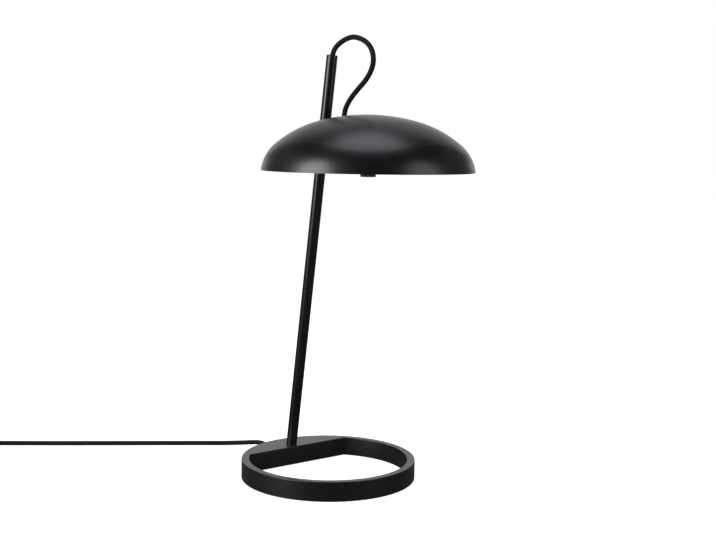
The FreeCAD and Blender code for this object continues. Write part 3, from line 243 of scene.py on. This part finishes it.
# %% [markdown]
# ## The loop over the shade
# The cord comes out of the stem's top, bows forward in a loop and dives through the grommet into the
# shade. It joins two moving things: the stem top stands still, while the shade slides and tilts. Each
# half of the loop crosses one joint, so the loop is made as two tubes that meet in the middle, where the
# cord would go with the slider. Each half is listed with the bodies at its two ends, but nothing here ties
# it to them. Moved by a blend that shifts the rings without turning them, the cord would be thinner and
# longer away from rest than a real one, and with the shade at its lowest it would cut into the mouth of
# the stem's bush.

# %% Loop cord
LOOP_POINTS = (  # y and z from the stem's top, over and down to the shade
    (-0.2, 1.6), (-5.2, 8.4), (-12.2, 12.6), (-23.2, 16.6), (-37.8, 18.6), (-56.1, 13.5),
    (-66.9, 5.7), (-71.5, -5.1), (-68.8, -15.9), (-59.6, -26.3), (-46.9, -34.8), (-35.5, -43.1),
    (-28.0, -50.6), (-23.4, -57.6))
BUSH_DEPTH = 8
OVER_GROMMET = 1.5
CORD_STEP = 1.5 * MM

loop_controls = [on_stem_top @ Vector((0, 0, -BUSH_DEPTH * MM))]
loop_controls += [STEM_TOP + Vector((0, y, z)) * MM for y, z in LOOP_POINTS]
loop_controls.append(on_crown @ Vector((0, 0, OVER_GROMMET * MM)))
loop_points = even_points(smooth_line("loop_line", loop_controls), CORD_STEP)
farthest = min(range(len(loop_points)), key=lambda i: loop_points[i].y)
loop_halves = (
    ("loop_cord_upper", loop_points[:farthest + 1], "stand", "slider"),
    ("loop_cord_lower", loop_points[farthest:], "slider", "shade"))
cord_tubes = []
braid_start = 0.0
for name, points, near_body, far_body in loop_halves:
    half = tube(name, points, CORD_RADIUS, along=braid_start)
    braid_start += line_length(points) / (math.tau * CORD_RADIUS)
    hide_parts("loop_cord")
    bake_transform(half)
    cord_tubes.append(half)
    print(f"{name}: {line_length(points):.3f} m")

# %% [markdown]
# ## The mains cord
# From the gland the cord drops to the desk and runs off to the left. The picture ends before the cord
# does, so the rest is invented and lies where a tidy person would put it: in a flat coil, three turns in,
# half a turn up and three and a half turns out on top, and then the plug. One spline holds it all, and a
# loop works out the turns.

# %% Where the mains cord lies
EXIT_HEIGHT = 7.2
DESK_POINTS = (  # from the gland's tip down to the desk and away
    (0.8, 9.1, 7.2), (1.4, 17.2, 6.8), (-0.9, 25.3, 5.9), (-6.6, 33.0, 4.8), (-14.5, 41.0, 3.8),
    (-27.7, 51.9, 3.0), (-48.4, 67.2, 2.7), (-77.1, 86.8, 2.7), (-127.0, 120.3, 2.7), (-190.0, 162.9, 2.7))
TAIL_POINTS = ((-295.2, 241.3, 8.6), (-306.0, 248.5, 7.7), (-317.1, 255.2, 7.0), (-327.6, 261.1, 7.0))
LAST_RUN = 40 * MM
COIL_CENTRE = GLAND_TIP + Vector((-306, 198, 0)) * MM
COIL_START = math.radians(53.07)
COIL_INNER = 20 * MM
COIL_PITCH = 5.9 * MM
COIL_LEAD = 5.4 * MM
TURNS_IN = 3
TURNS_CLIMB = 0.5
TURNS_OUT = 3.5
POINTS_PER_TURN = 16
turns_in_all = TURNS_IN + TURNS_CLIMB + TURNS_OUT


def coil_place(turns):
    """A place on the coil: inwards on the desk, up half a turn, outwards on top."""
    angle = COIL_START + math.tau * turns
    radius = COIL_INNER
    height = CORD_RADIUS
    if turns <= TURNS_IN:
        radius += COIL_PITCH * (TURNS_IN - turns)
    elif turns < TURNS_IN + TURNS_CLIMB:
        climbed = (turns - TURNS_IN) / TURNS_CLIMB * math.pi
        radius -= COIL_PITCH / math.tau * math.sin(climbed)
        height += COIL_PITCH * (1 - math.cos(climbed)) / 2
    else:
        radius += COIL_PITCH * (turns - TURNS_IN - TURNS_CLIMB)
        height += COIL_PITCH
    return COIL_CENTRE + Vector((radius * math.cos(angle), radius * math.sin(angle), height))


def coil_control(turns):
    """The control point whose spline passes at the coil's radius, for it cuts inside its corners."""
    pull_in = (1 + math.cos(math.tau / POINTS_PER_TURN)) / 2
    place = coil_place(turns)
    flat = Vector((place.x, place.y, 0)) - COIL_CENTRE
    return COIL_CENTRE + flat / pull_in + Vector((0, 0, place.z))


# %% Mains cord
NUDGE = 0.002
coil_start = coil_place(0)
coil_end = coil_place(turns_in_all)
into_coil = (coil_place(NUDGE) - coil_start).normalized()
out_of_coil = (coil_end - coil_place(turns_in_all - NUDGE)).normalized()
cord_exit = GLAND_TIP + Vector((0, 0, EXIT_HEIGHT)) * MM
mains_controls = [cord_exit]
mains_controls += [GLAND_TIP + Vector(point) * MM for point in DESK_POINTS]
mains_controls += [coil_start - into_coil * LAST_RUN, coil_start - into_coil * COIL_LEAD]
for i in range(1, int(turns_in_all * POINTS_PER_TURN)):
    mains_controls.append(coil_control(i / POINTS_PER_TURN))
mains_controls.append(coil_end + out_of_coil * COIL_LEAD)
mains_controls += [GLAND_TIP + Vector(point) * MM for point in TAIL_POINTS]
mains_points = even_points(smooth_line("mains_line", mains_controls), CORD_STEP)
mains_cord = tube("mains_cord_tube", mains_points, CORD_RADIUS)
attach(mains_cord, "stand")
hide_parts("mains_cord", "mains_cord_coil", "cord_tail")
cord_tubes.append(mains_cord)
print(f"mains cord: {line_length(mains_points):.3f} m")

# %% [markdown]
# ## Turned and moulded pieces
# A knob, a grommet, a bush and a strain relief are all round about one axis, with soft edges from the
# mould. Each is one half outline turned round that axis. The corners of the outline carry their own
# rounding, so each edge catches light as the real one does, which a plain cylinder's edge never does.

# %% Half outline with soft corners
CORNER_STEPS = 4
MOST_OF_EDGE = 0.45


def softened(corners):
    """The closed outline, with each (radius, height, rounding) corner as a short curve."""
    points = []
    for i, (radius, height, rounding) in enumerate(corners):
        corner = Vector((radius, height))
        before = Vector(corners[i - 1][:2]) - corner
        after = Vector(corners[(i + 1) % len(corners)][:2]) - corner
        reach = min(rounding, MOST_OF_EDGE * before.length, MOST_OF_EDGE * after.length)
        if reach == 0:
            points.append(corner)
            continue
        start = corner + before.normalized() * reach
        end = corner + after.normalized() * reach
        for step in range(CORNER_STEPS + 1):
            t = step / CORNER_STEPS
            points.append(start * (1 - t) ** 2 + corner * 2 * t * (1 - t) + end * t ** 2)
    return points


# %% Turning the outline
def turned(name, corners, places, sides=64, shape=None):
    """The outline turned round Z in each of the places. shape moves a radius in or out."""
    outline = softened(corners)
    made = bmesh.new()
    for place in places:
        rings = []
        for point in outline:
            ring = []
            for i in range(sides if point.x > 0 else 1):
                angle = math.tau * i / sides
                radius = point.x + (shape(angle, point) if shape else 0)
                spot = Vector((radius * math.cos(angle), radius * math.sin(angle), point.y)) * MM
                ring.append(made.verts.new(place @ spot))
            rings.append(ring)
        for ring, following in zip(rings, rings[1:] + rings[:1]):
            for i in range(sides):
                k = (i + 1) % sides
                corners_of_face = [ring[i % len(ring)], ring[k % len(ring)],
                                   following[k % len(following)], following[i % len(following)]]
                unlike = list(dict.fromkeys(corners_of_face))
                if len(unlike) > 2:
                    made.faces.new(unlike).smooth = True
    bmesh.ops.recalc_face_normals(made, faces=made.faces)
    return piece_of(name, made)


# %% Fitting a piece
new_pieces = []


def fit(piece, body, node, slot):
    """Puts a piece in its node's place, on its body, and notes its finish."""
    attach(piece, body)
    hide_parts(node)
    new_pieces.append((piece, slot))
    print(f"{piece.name}: {len(piece.data.vertices)} points, for {node}")


# %% [markdown]
# ## Knob of the dimmer
# A small black knob hangs under the middle of the shade. A finger has to turn it by feel, so such a knob
# has fine grooves all round and a rounded lower edge. The grooves are cut by moving the radius in and out
# as the outline goes round, which keeps the knob one clean mesh.

# %% Knob
KNOB_GROOVES = 30
GROOVE_DEPTH = 0.35
GROOVED_RADIUS = 7
GROOVES_BOTTOM = -4.9
GROOVES_TOP = 3.6


def knob_groove(angle, point):
    """Grooves on the knob's side alone; they run out over the faces between it and the rounded edges."""
    if point.x < GROOVED_RADIUS or not GROOVES_BOTTOM < point.y < GROOVES_TOP:
        return 0
    return -GROOVE_DEPTH * (0.5 - 0.5 * math.cos(angle * KNOB_GROOVES)) ** 2


knob = turned("knob", [
    (0, -5.2, 0), (6.4, -5.2, 0.3), (6.8, -5.7, 0.3), (8, -5.7, 0.9), (8, -4.8, 0), (8, -1.8, 0),
    (8, 3.4, 0), (8, 4.3, 0.4), (3.05, 4.3, 0.3), (3.05, -2.9, 0), (0, -2.9, 0)],
    [in_shade], sides=240, shape=knob_groove)
fit(knob, "knob", "dimmer_knob", "black_plastic")

# %% [markdown]
# ## Grommet, bush, strain relief and feet
# Rubber and plastic line the three holes where the cord comes out or goes in, so that no metal edge rubs
# it there. The strain relief behind the base is grooved to bend with the cord. The feet are round rubber
# pads that stand half a millimetre proud of the ring.

# %% Cord fittings
grommet = turned("grommet", [
    (4.2, -2.55, 0.5), (6.8, -2.55, 0.6), (6.8, -1.35, 0.3), (5.2, -1.35, 0), (5.2, 0.15, 0),
    (6.8, 0.15, 0.3), (6.7, 1.35, 0.9), (4.2, 1.35, 0.6)], [on_crown])
fit(grommet, "shade", "cord_grommet", "rubber")

bush = turned("stem_top_bush", [
    (3.3, -8, 0.3), (4.95, -8, 0.4), (4.95, 0, 0), (6, 0, 0), (6, 0.1, 0), (6, 1.2, 1.3), (3.3, 1.2, 1.0)],
    [on_stem_top])
fit(bush, "stand", "stem_bush", "black_plastic")

# %% Strain relief
RELIEF_GROOVES = 8
RELIEF_PITCH = 2.8
FIRST_GROOVE = 10.6
RELIEF_CUT = 0.7
RELIEF_BACK = 8.5
RELIEF_TIP = 34.5
RELIEF_RADIUS = 4.45
RELIEF_TAPER = 0.85

relief_outline = [(2.75, -1.7, 0), (4.5, -1.7, 0.3), (4.5, -0.2, 0.2), (3.8, -0.2, 0)]
relief_outline += [(3.8, RELIEF_BACK, 0), (4.5, RELIEF_BACK, 0.3), (RELIEF_RADIUS, 10.5, 0.4)]
for i in range(RELIEF_GROOVES):
    low = FIRST_GROOVE + RELIEF_PITCH * i
    outside = RELIEF_RADIUS - RELIEF_TAPER * (low - RELIEF_BACK) / (RELIEF_TIP - RELIEF_BACK)
    relief_outline += [(outside - RELIEF_CUT, low, 0.3), (outside - RELIEF_CUT, low + 1.0, 0.3)]  # groove
    relief_outline += [(outside - 0.03, low + 1.1, 0.3), (outside - 0.06, low + 2.7, 0.3)]  # rib
relief_outline += [(3.6, RELIEF_TIP, 0.5), (2.75, RELIEF_TIP, 0.3)]
relief = turned("strain_relief", relief_outline, [in_wall])
fit(relief, "stand", "cord_gland", "rubber")

# %% Feet
RING_MIDDLE = Vector((0, 39.02, 0)) * MM
FOOT_CIRCLE = 90.75 * MM
FOOT_DEGREES = (-120, -60, 0, 60, 120)

foot_places = []
for degrees in FOOT_DEGREES:
    angle = math.radians(degrees)
    spot = RING_MIDDLE + Vector((math.sin(angle), -math.cos(angle), 0)) * FOOT_CIRCLE
    foot_places.append(Matrix.Translation(spot))
feet = turned(
    "rubber_feet", [(0, 0, 0), (2.5, 0, 0.35), (2.5, 1.3, 0.1), (0, 1.3, 0)], foot_places, sides=40)
fit(feet, "stand", "foot_pads", "rubber")

# %% [markdown]
# ## Opal disc
# A disc of opal acrylic hides the lamps from below and spreads their light. Its edge is laser cut and
# flame polished, so it is slightly rounded.

# %% Opal disc
opal_disc = turned("opal_disc", [
    (5.1, 10, 0.2), (66, 10, 0.9), (66, 12.5, 0.9), (5.1, 12.5, 0.2)], [in_shade], sides=192)
fit(opal_disc, "shade", "diffuser", "opal")

# %% [markdown]
# ## Plug
# The cord ends in a flat moulded plug, which narrows to the cord so that it can be gripped and pulled.
# It is lofted: each section is a rounded rectangle, and the sections grow from the round relief to the
# wide front. Shallow waves across both faces give the fingers a hold.

# %% Sections of the plug
PLUG_SIDES = 56
PLUG_SECTIONS = (  # distance along, half width, half thickness, squareness
    (0, 3.1, 3.1, 2), (0.4, 3.5, 3.5, 2), (6, 3.8, 3.8, 2), (13, 4.1, 4.1, 2), (18.5, 4.5, 4.5, 2),
    (20, 5.6, 5.4, 2.4), (21.5, 6.6, 6.3, 3), (24.5, 8.6, 6.8, 3.6), (28, 11.8, 7.0, 4),
    (32, 15.4, 7.0, 4.4), (35, 17.0, 7.0, 4.6), (38, 17.5, 7.0, 4.8), (46, 17.5, 7.0, 5),
    (54, 17.5, 7.0, 5), (55.4, 17.3, 6.8, 5), (55.9, 16.9, 6.4, 5), (56, 16.4, 5.9, 5))
GRIP_START = 24
GRIP_END = 45
GRIP_WAVES = 5
GRIP_DEPTH = 0.5
FLAT_WIDTH = 0.72
FLAT_FADE = 4


def plug_section(along):
    """Half width, half thickness and squareness at a distance along the plug."""
    for low, high in zip(PLUG_SECTIONS, PLUG_SECTIONS[1:]):
        if along <= high[0]:
            share = (along - low[0]) / (high[0] - low[0])
            return [a + (b - a) * share for a, b in zip(low[1:], high[1:])]
    return PLUG_SECTIONS[-1][1:]


def plug_ring(along):
    """Corners of one section, as a superellipse with the grip's waves in its flat faces."""
    width, thickness, square = plug_section(along)
    grip = 0.0
    if GRIP_START < along < GRIP_END:
        share = (along - GRIP_START) / (GRIP_END - GRIP_START)
        grip = GRIP_DEPTH * (0.5 - 0.5 * math.cos(math.tau * GRIP_WAVES * share))
    ring = []
    for i in range(PLUG_SIDES):
        angle = math.tau * i / PLUG_SIDES
        cosine = math.cos(angle)
        sine = math.sin(angle)
        x = width * math.copysign(abs(cosine) ** (2 / square), cosine)
        flat = max(0.0, 1 - (x / (FLAT_WIDTH * width)) ** FLAT_FADE)
        z = (thickness - grip * flat) * math.copysign(abs(sine) ** (2 / square), sine)
        ring.append(Vector((x, along, z)))
    return ring


# %% Plug
PLUG_TURN = math.radians(60.67)
GRIP_STEP = 0.7

at_plug = Matrix.Translation(GLAND_TIP + Vector(TAIL_POINTS[-1]) * MM) @ Matrix.Rotation(PLUG_TURN, 4, "Z")
stations = [section[0] for section in PLUG_SECTIONS]
stations += [GRIP_START + GRIP_STEP * i for i in range(1, int((GRIP_END - GRIP_START) / GRIP_STEP))]
plug_made = bmesh.new()
plug_rings = []
for along in sorted(stations):
    plug_rings.append([plug_made.verts.new(at_plug @ (spot * MM)) for spot in plug_ring(along)])
for ring, following in zip(plug_rings, plug_rings[1:]):
    for i in range(PLUG_SIDES):
        k = (i + 1) % PLUG_SIDES
        plug_made.faces.new((ring[i], ring[k], following[k], following[i])).smooth = True
plug_made.faces.new(reversed(plug_rings[0]))
plug_made.faces.new(plug_rings[-1])
bmesh.ops.recalc_face_normals(plug_made, faces=plug_made.faces)
plug = piece_of("plug", plug_made)
fit(plug, "stand", "plug_body", "black_plastic")

# %% [markdown]
# ## Floor, room and light
# Product photographs like this one are shot on a white sweep in a dark room. The sweep shows as white, and
# the black paint shows the room: a soft box at each side makes the two soft highlights on the shade, a
# wide one overhead makes its grey top, and the dark between them keeps the black looking black. The
# floor's glow is there to be seen: it throws no light on the lamp, and the lamp's shadow stays on it.

# %% Material helpers
def new_material(name):
    """A material with an empty node tree and its output."""
    material = bpy.data.materials.new(name)
    material.use_nodes = True
    material.node_tree.nodes.clear()
    output = material.node_tree.nodes.new("ShaderNodeOutputMaterial")
    return material, material.node_tree, output


def principled(name):
    """A material with one Principled shader."""
    material, tree, output = new_material(name)
    shader = tree.nodes.new("ShaderNodeBsdfPrincipled")
    tree.links.new(shader.outputs[0], output.inputs["Surface"])
    return material, tree, shader


def bumped(tree, shader, height, depth):
    """Shows a height as relief on the shader's surface."""
    bump = tree.nodes.new("ShaderNodeBump")
    bump.inputs["Distance"].default_value = depth
    tree.links.new(height, bump.inputs["Height"])
    tree.links.new(bump.outputs[0], shader.inputs["Normal"])


# %% Maths in a material
def math_node(tree, operation, *values):
    """A maths node on one or two linked values."""
    node = tree.nodes.new("ShaderNodeMath")
    node.operation = operation
    for value, socket in zip(values, node.inputs):
        tree.links.new(value, socket)
    return node.outputs[0]


def seen_directly(tree):
    """1 for camera, glossy and transmission rays, 0 for the rest."""
    rays = tree.nodes.new("ShaderNodeLightPath")
    total = rays.outputs["Is Camera Ray"]
    for name in ("Is Glossy Ray", "Is Transmission Ray"):
        total = math_node(tree, "MAXIMUM", total, rays.outputs[name])
    return total


def times(tree, value, factor, add=0.0):
    """value x factor + add."""
    scaled = tree.nodes.new("ShaderNodeMath")
    scaled.operation = "MULTIPLY_ADD"
    tree.links.new(value, scaled.inputs[0])
    scaled.inputs[1].default_value = factor
    scaled.inputs[2].default_value = add
    return scaled.outputs[0]


# %% Floor
FLOOR_SIZE = 12
FLOOR_GLOW = 0.86
PAPER_COLOUR = (0.6, 0.6, 0.6, 1)

floor_mesh = bpy.data.meshes.new("floor")
edge = FLOOR_SIZE / 2
floor_corners = [(-edge, -edge, 0), (edge, -edge, 0), (edge, edge, 0), (-edge, edge, 0)]
floor_mesh.from_pydata(floor_corners, [], [(0, 1, 2, 3)])
floor = link("floor", floor_mesh)
floor_material, floor_tree, floor_output = new_material("white_sweep")
paper = floor_tree.nodes.new("ShaderNodeBsdfDiffuse")
paper.inputs["Color"].default_value = PAPER_COLOUR
glow = floor_tree.nodes.new("ShaderNodeEmission")
floor_tree.links.new(times(floor_tree, seen_directly(floor_tree), FLOOR_GLOW), glow.inputs["Strength"])
both = floor_tree.nodes.new("ShaderNodeAddShader")
floor_tree.links.new(paper.outputs[0], both.inputs[0])
floor_tree.links.new(glow.outputs[0], both.inputs[1])
floor_tree.links.new(both.outputs[0], floor_output.inputs["Surface"])
floor_mesh.materials.append(floor_material)
print("floor:", FLOOR_SIZE, "m")

# %% World
WORLD_LIGHT = 0.3

world = bpy.data.worlds.new("studio")
bpy.context.scene.world = world
world.use_nodes = True
world_tree = world.node_tree
background = world_tree.nodes["Background"]
background.inputs["Color"].default_value = (1, 1, 1, 1)
world_strength = times(world_tree, seen_directly(world_tree), 1 - WORLD_LIGHT, WORLD_LIGHT)
world_tree.links.new(world_strength, background.inputs["Strength"])
print("world: 1 to look at,", WORLD_LIGHT, "as light")

# %% Soft boxes
SHADE_MIDDLE = Vector((0, -0.024, 0.36))
to_camera = (CAMERA_PLACE - SHADE_MIDDLE).normalized()


def around_shade(degrees, elevation, distance):
    """A place round the shade: degrees to the right of the camera as it sees the lamp."""
    flat = Vector((to_camera.x, to_camera.y, 0)).normalized()
    flat.rotate(Matrix.Rotation(math.radians(degrees), 3, "Z"))
    rise = math.radians(elevation)
    return SHADE_MIDDLE + (flat * math.cos(rise) + Vector((0, 0, math.sin(rise)))) * distance


def soft_box(name, place, width, height, radiance, colour=(1, 1, 1)):
    """An oval light that faces the shade, as bright as its radiance says."""
    data = bpy.data.lights.new(name, "AREA")
    data.shape = "ELLIPSE"
    data.size = width
    data.size_y = height
    data.energy = radiance * math.pi * math.pi / 4 * width * height
    data.color = colour
    light = bpy.data.objects.new(name, data)
    aim = (SHADE_MIDDLE - place).to_track_quat("-Z", "Y")
    light.matrix_world = Matrix.LocRotScale(place, aim, None)
    bpy.context.scene.collection.objects.link(light)
    print(f"{name}: {width} x {height} m, radiance {radiance}")


soft_box("box_left", around_shade(-60, 12, 2.0), width=1.2, height=1.9, radiance=8.4)
soft_box("box_right", around_shade(60, 12, 2.0), width=1.3, height=1.9, radiance=2.1)
soft_box("box_top", around_shade(180, 86, 2.2), width=1.7, height=1.8, radiance=2.4,
         colour=(0.94, 0.91, 1.0))

# %% [markdown]
# ## A room that only reflections see
# Black paint mirrors the room around it. A dome of panels stands in for that room, and it is a device:
# nothing but a reflection sees it. It is dark towards the camera and overhead, a little lighter beside
# and behind the lamp, and light where the sweep's paper hangs. The white backdrop is left open. The
# dome's floor is dim and hides the white floor from reflections.

# %% Which wall shows where
ROOM_DISTANCE = 3.0
ROOM_STEP = 10
DIM_FLOOR_HEIGHT = 0.001
WALLS = {"dark_wall": 0.03, "side_wall": 0.16, "paper_top": 0.55, "dim_floor": 0.09}
BESIDE = 80  # this and the next two: degrees round the lamp, away from the camera
NEARLY_BEHIND = 140
BEHIND = 150
BACKDROP_EDGE_RISE = 10  # this and the next three: degrees above the horizon
BACKDROP_RISE = 20
SIDE_WALL_RISE = 40
PAPER_RISE = 50


def wall_at(degrees, rise):
    """Which wall shows in a direction; the white backdrop is left open behind the lamp."""
    away = abs(degrees + ROOM_STEP / 2)
    if away > BEHIND and rise < BACKDROP_RISE or away > NEARLY_BEHIND and rise < BACKDROP_EDGE_RISE:
        return None
    if away > BEHIND and rise < PAPER_RISE:
        return "paper_top"
    if away > BESIDE and rise < SIDE_WALL_RISE:
        return "side_wall"
    return "dark_wall"


# %% Panels of the room
corner_numbers = {}
room_places = []
for degrees in range(-180, 181, ROOM_STEP):
    for rise in range(0, 91, ROOM_STEP):
        corner_numbers[degrees, rise] = len(room_places)
        place = around_shade(degrees, rise, ROOM_DISTANCE)
        room_places.append((place.x, place.y, place.z if rise else DIM_FLOOR_HEIGHT))
panels = []
chosen_walls = []
for degrees in range(-180, 180, ROOM_STEP):
    for rise in range(0, 90, ROOM_STEP):
        chosen = wall_at(degrees, rise)
        if chosen is None:
            continue
        on = degrees + ROOM_STEP
        up = rise + ROOM_STEP
        panel = ((degrees, rise), (on, rise), (on, up), (degrees, up))
        panels.append([corner_numbers[spot] for spot in panel])
        chosen_walls.append(chosen)
panels.append([corner_numbers[degrees, 0] for degrees in range(-180, 180, ROOM_STEP)])
chosen_walls.append("dim_floor")

# %% Dark room
room_mesh = bpy.data.meshes.new("dark_room")
room_mesh.from_pydata(room_places, [], panels)
for wall, brightness in WALLS.items():
    wall_material, wall_tree, wall_output = new_material(wall)
    shine = wall_tree.nodes.new("ShaderNodeEmission")
    shine.inputs["Strength"].default_value = brightness
    wall_tree.links.new(shine.outputs[0], wall_output.inputs["Surface"])
    room_mesh.materials.append(wall_material)
for face, chosen in zip(room_mesh.polygons, chosen_walls):
    face.material_index = list(WALLS).index(chosen)
dark_room = link("dark_room", room_mesh)
for seen_by in ("camera", "diffuse", "transmission", "volume_scatter", "shadow"):
    setattr(dark_room, "visible_" + seen_by, False)
print("dark room:", len(panels), "panels")

# %% [markdown]
# ## Finishes
# Every finish is one Principled shader with two noise textures in object coordinates: a slow one that
# varies the roughness and the colour, and a fine one for the grain. The pieces are in metres, so a noise
# scale of 1000 makes grains of about a millimetre.

# %% A finish with grain
PATCH_DETAIL = 4
GRAIN_DETAIL = 3
finishes = {}


def noise(tree, place, scale, detail):
    """A noise texture's value."""
    texture = tree.nodes.new("ShaderNodeTexNoise")
    texture.inputs["Scale"].default_value = scale
    texture.inputs["Detail"].default_value = detail
    tree.links.new(place, texture.inputs["Vector"])
    return texture.outputs["Fac"]


def finish(name, colour, roughness, grain, grain_depth, patch, rough_swing, colour_swing, metallic=0.0,
           **sockets):
    """Makes a finish. grain is the bump's scale, patch the scale of the slow variation."""
    material, tree, shader = principled(name)
    finishes[name] = material
    shader.inputs["Base Color"].default_value = (*colour, 1)
    shader.inputs["Metallic"].default_value = metallic
    shader.inputs["Roughness"].default_value = roughness
    for socket, value in sockets.items():
        shader.inputs[socket.replace("_", " ")].default_value = value
    place = tree.nodes.new("ShaderNodeTexCoord").outputs["Object"]
    slow = noise(tree, place, patch, PATCH_DETAIL)
    swing = times(tree, slow, 2 * rough_swing, roughness - rough_swing)
    tree.links.new(swing, shader.inputs["Roughness"])
    shades = tree.nodes.new("ShaderNodeMixRGB")
    tree.links.new(slow, shades.inputs["Fac"])
    shades.inputs["Color1"].default_value = (*[c * (1 - colour_swing) for c in colour], 1)
    shades.inputs["Color2"].default_value = (*[c * (1 + colour_swing) for c in colour], 1)
    tree.links.new(shades.outputs[0], shader.inputs["Base Color"])
    bumped(tree, shader, noise(tree, place, grain, GRAIN_DETAIL), grain_depth)


# %% Metal, paint, rubber, plastic, glass
finish("base_paint", (0.0048, 0.0036, 0.0050), 0.36, grain=1800, grain_depth=0.00003,
       patch=60, rough_swing=0.05, colour_swing=0.15)
finish("stem_paint", (0.0036, 0.0036, 0.0038), 0.28, grain=1200, grain_depth=0.000004,
       patch=50, rough_swing=0.04, colour_swing=0.1)
finish("shade_paint", (0.0034, 0.0032, 0.0038), 0.33, grain=700, grain_depth=0.00001,
       patch=30, rough_swing=0.03, colour_swing=0.1)
finish("black_steel", (0.05, 0.05, 0.052), 0.42, metallic=0.8, grain=1500, grain_depth=0.00002,
       patch=200, rough_swing=0.08, colour_swing=0.2)
finish("zinc_steel", (0.62, 0.63, 0.64), 0.34, metallic=1, grain=900, grain_depth=0.00002,
       patch=250, rough_swing=0.08, colour_swing=0.08)
finish("rubber", (0.012, 0.012, 0.012), 0.62, grain=2500, grain_depth=0.00004,
       patch=150, rough_swing=0.06, colour_swing=0.15)
finish("black_plastic", (0.010, 0.010, 0.011), 0.4, grain=3000, grain_depth=0.00003,
       patch=120, rough_swing=0.05, colour_swing=0.1)
finish("nylon", (0.8, 0.79, 0.74), 0.45, grain=2000, grain_depth=0.00002,
       patch=180, rough_swing=0.05, colour_swing=0.03,
       Subsurface_Weight=0.15, Subsurface_Radius=(1, 1, 0.9), Subsurface_Scale=0.001)
finish("ceramic", (0.85, 0.84, 0.8), 0.22, grain=700, grain_depth=0.00003,
       patch=160, rough_swing=0.06, colour_swing=0.03, Coat_Weight=0.4)
finish("opal", (0.88, 0.88, 0.86), 0.4, grain=1500, grain_depth=0.00001,
       patch=40, rough_swing=0.04, colour_swing=0.02,
       Subsurface_Weight=0.3, Subsurface_Radius=(1, 1, 1), Subsurface_Scale=0.002)
finish("lamp_glass", (0.95, 0.95, 0.93), 0.3, grain=2500, grain_depth=0.00002,
       patch=120, rough_swing=0.05, colour_swing=0.02, Transmission_Weight=0.6)
finish("lead_sleeve", (0.75, 0.74, 0.7), 0.6, grain=3500, grain_depth=0.0001,
       patch=400, rough_swing=0.05, colour_swing=0.1)
finish("pin_metal", (0.8, 0.78, 0.73), 0.2, metallic=1, grain=1200, grain_depth=0.00001,
       patch=300, rough_swing=0.06, colour_swing=0.05)
print("finishes:", ", ".join(finishes))

# %% [markdown]
# ## Braid
# The cord's sleeve is a fine braid of black yarn. Two sets of strands wind round the cord in opposite
# directions, each over and under the other. The tube's UV map runs round and along at one scale, so a wave
# across each set gives its round strands. The sign of the two waves' product is a chessboard, which says
# which set lies on top. The height that comes out gives the bump. It also paints shade into the colour:
# the yarn is darker where the height is low, in the grooves between strands, and lighter on their crowns.

# %% Braided textile
BRAID_STRANDS = 24
BRAID_DEPTH = 0.00015
CROSSING_SHARPNESS = 4
# The first yarn colour is painted shade for the grooves between strands; the second is the yarn on the
# strands' crowns.
YARN_PAINTED_GROOVE_SHADE = (0.002, 0.002, 0.0023, 1)
YARN_ON_CROWNS = (0.008, 0.008, 0.009, 1)
YARN = {"Roughness": 0.62, "Specular IOR Level": 0.2, "Sheen Weight": 0.01, "Sheen Roughness": 0.4}


def wave(tree, across, along, sign):
    """A sine across one set of strands."""
    place = math_node(tree, "ADD", across, times(tree, along, sign))
    return math_node(tree, "SINE", times(tree, place, math.pi * BRAID_STRANDS))


def braid_height(tree, across, along):
    """The woven surface: strands of the set that lies on top."""
    first = wave(tree, across, along, 1)
    second = wave(tree, across, along, -1)
    on_top = times(tree, math_node(tree, "MULTIPLY", first, second), CROSSING_SHARPNESS, 0.5)
    choice = tree.nodes.new("ShaderNodeMix")
    tree.links.new(on_top, choice.inputs[0])
    tree.links.new(math_node(tree, "ABSOLUTE", first), choice.inputs[2])
    tree.links.new(math_node(tree, "ABSOLUTE", second), choice.inputs[3])
    return choice.outputs[0]


def braid():
    """The cord's finish: dull yarn, bumped by the woven surface, with painted shade in its grooves."""
    material, tree, shader = principled("cord_textile")
    for socket, value in YARN.items():
        shader.inputs[socket].default_value = value
    uv = tree.nodes.new("ShaderNodeUVMap")
    uv.uv_map = "around_along"
    parts = tree.nodes.new("ShaderNodeSeparateXYZ")
    tree.links.new(uv.outputs[0], parts.inputs[0])
    height = braid_height(tree, parts.outputs[0], parts.outputs[1])
    # The colour follows the height: painted shade in the grooves, lighter yarn on the crowns.
    yarn = tree.nodes.new("ShaderNodeMixRGB")
    yarn.inputs["Color1"].default_value = YARN_PAINTED_GROOVE_SHADE
    yarn.inputs["Color2"].default_value = YARN_ON_CROWNS
    tree.links.new(height, yarn.inputs["Fac"])
    tree.links.new(yarn.outputs[0], shader.inputs["Base Color"])
    bumped(tree, shader, height, BRAID_DEPTH)
    return material


finishes["cord_textile"] = braid()
for piece in cord_tubes:
    piece.data.materials.append(finishes["cord_textile"])
print("braid:", BRAID_STRANDS, "strands round the cord")

# %% [markdown]
# ## Finishes on the pieces
# A CAD piece keeps its mesh and only swaps its material for the finish that its record names. The new
# pieces take the finish of the piece that they stand for.

# %% Finish on every node and piece
slots = {row["node"]: row["material_slot"] for row in frame["record"]["subparts"]}


def wear(thing, finish_name):
    """Gives a piece one finish, in every material slot."""
    mesh = thing.data
    if not mesh.materials:
        mesh.materials.append(finishes[finish_name])
    for i in range(len(mesh.materials)):
        mesh.materials[i] = finishes[finish_name]


for node, thing in nodes.items():
    wear(thing, slots[node])
for piece, slot in new_pieces:
    wear(piece, slot)
print("finished", len(nodes), "nodes and", len(new_pieces), "pieces")
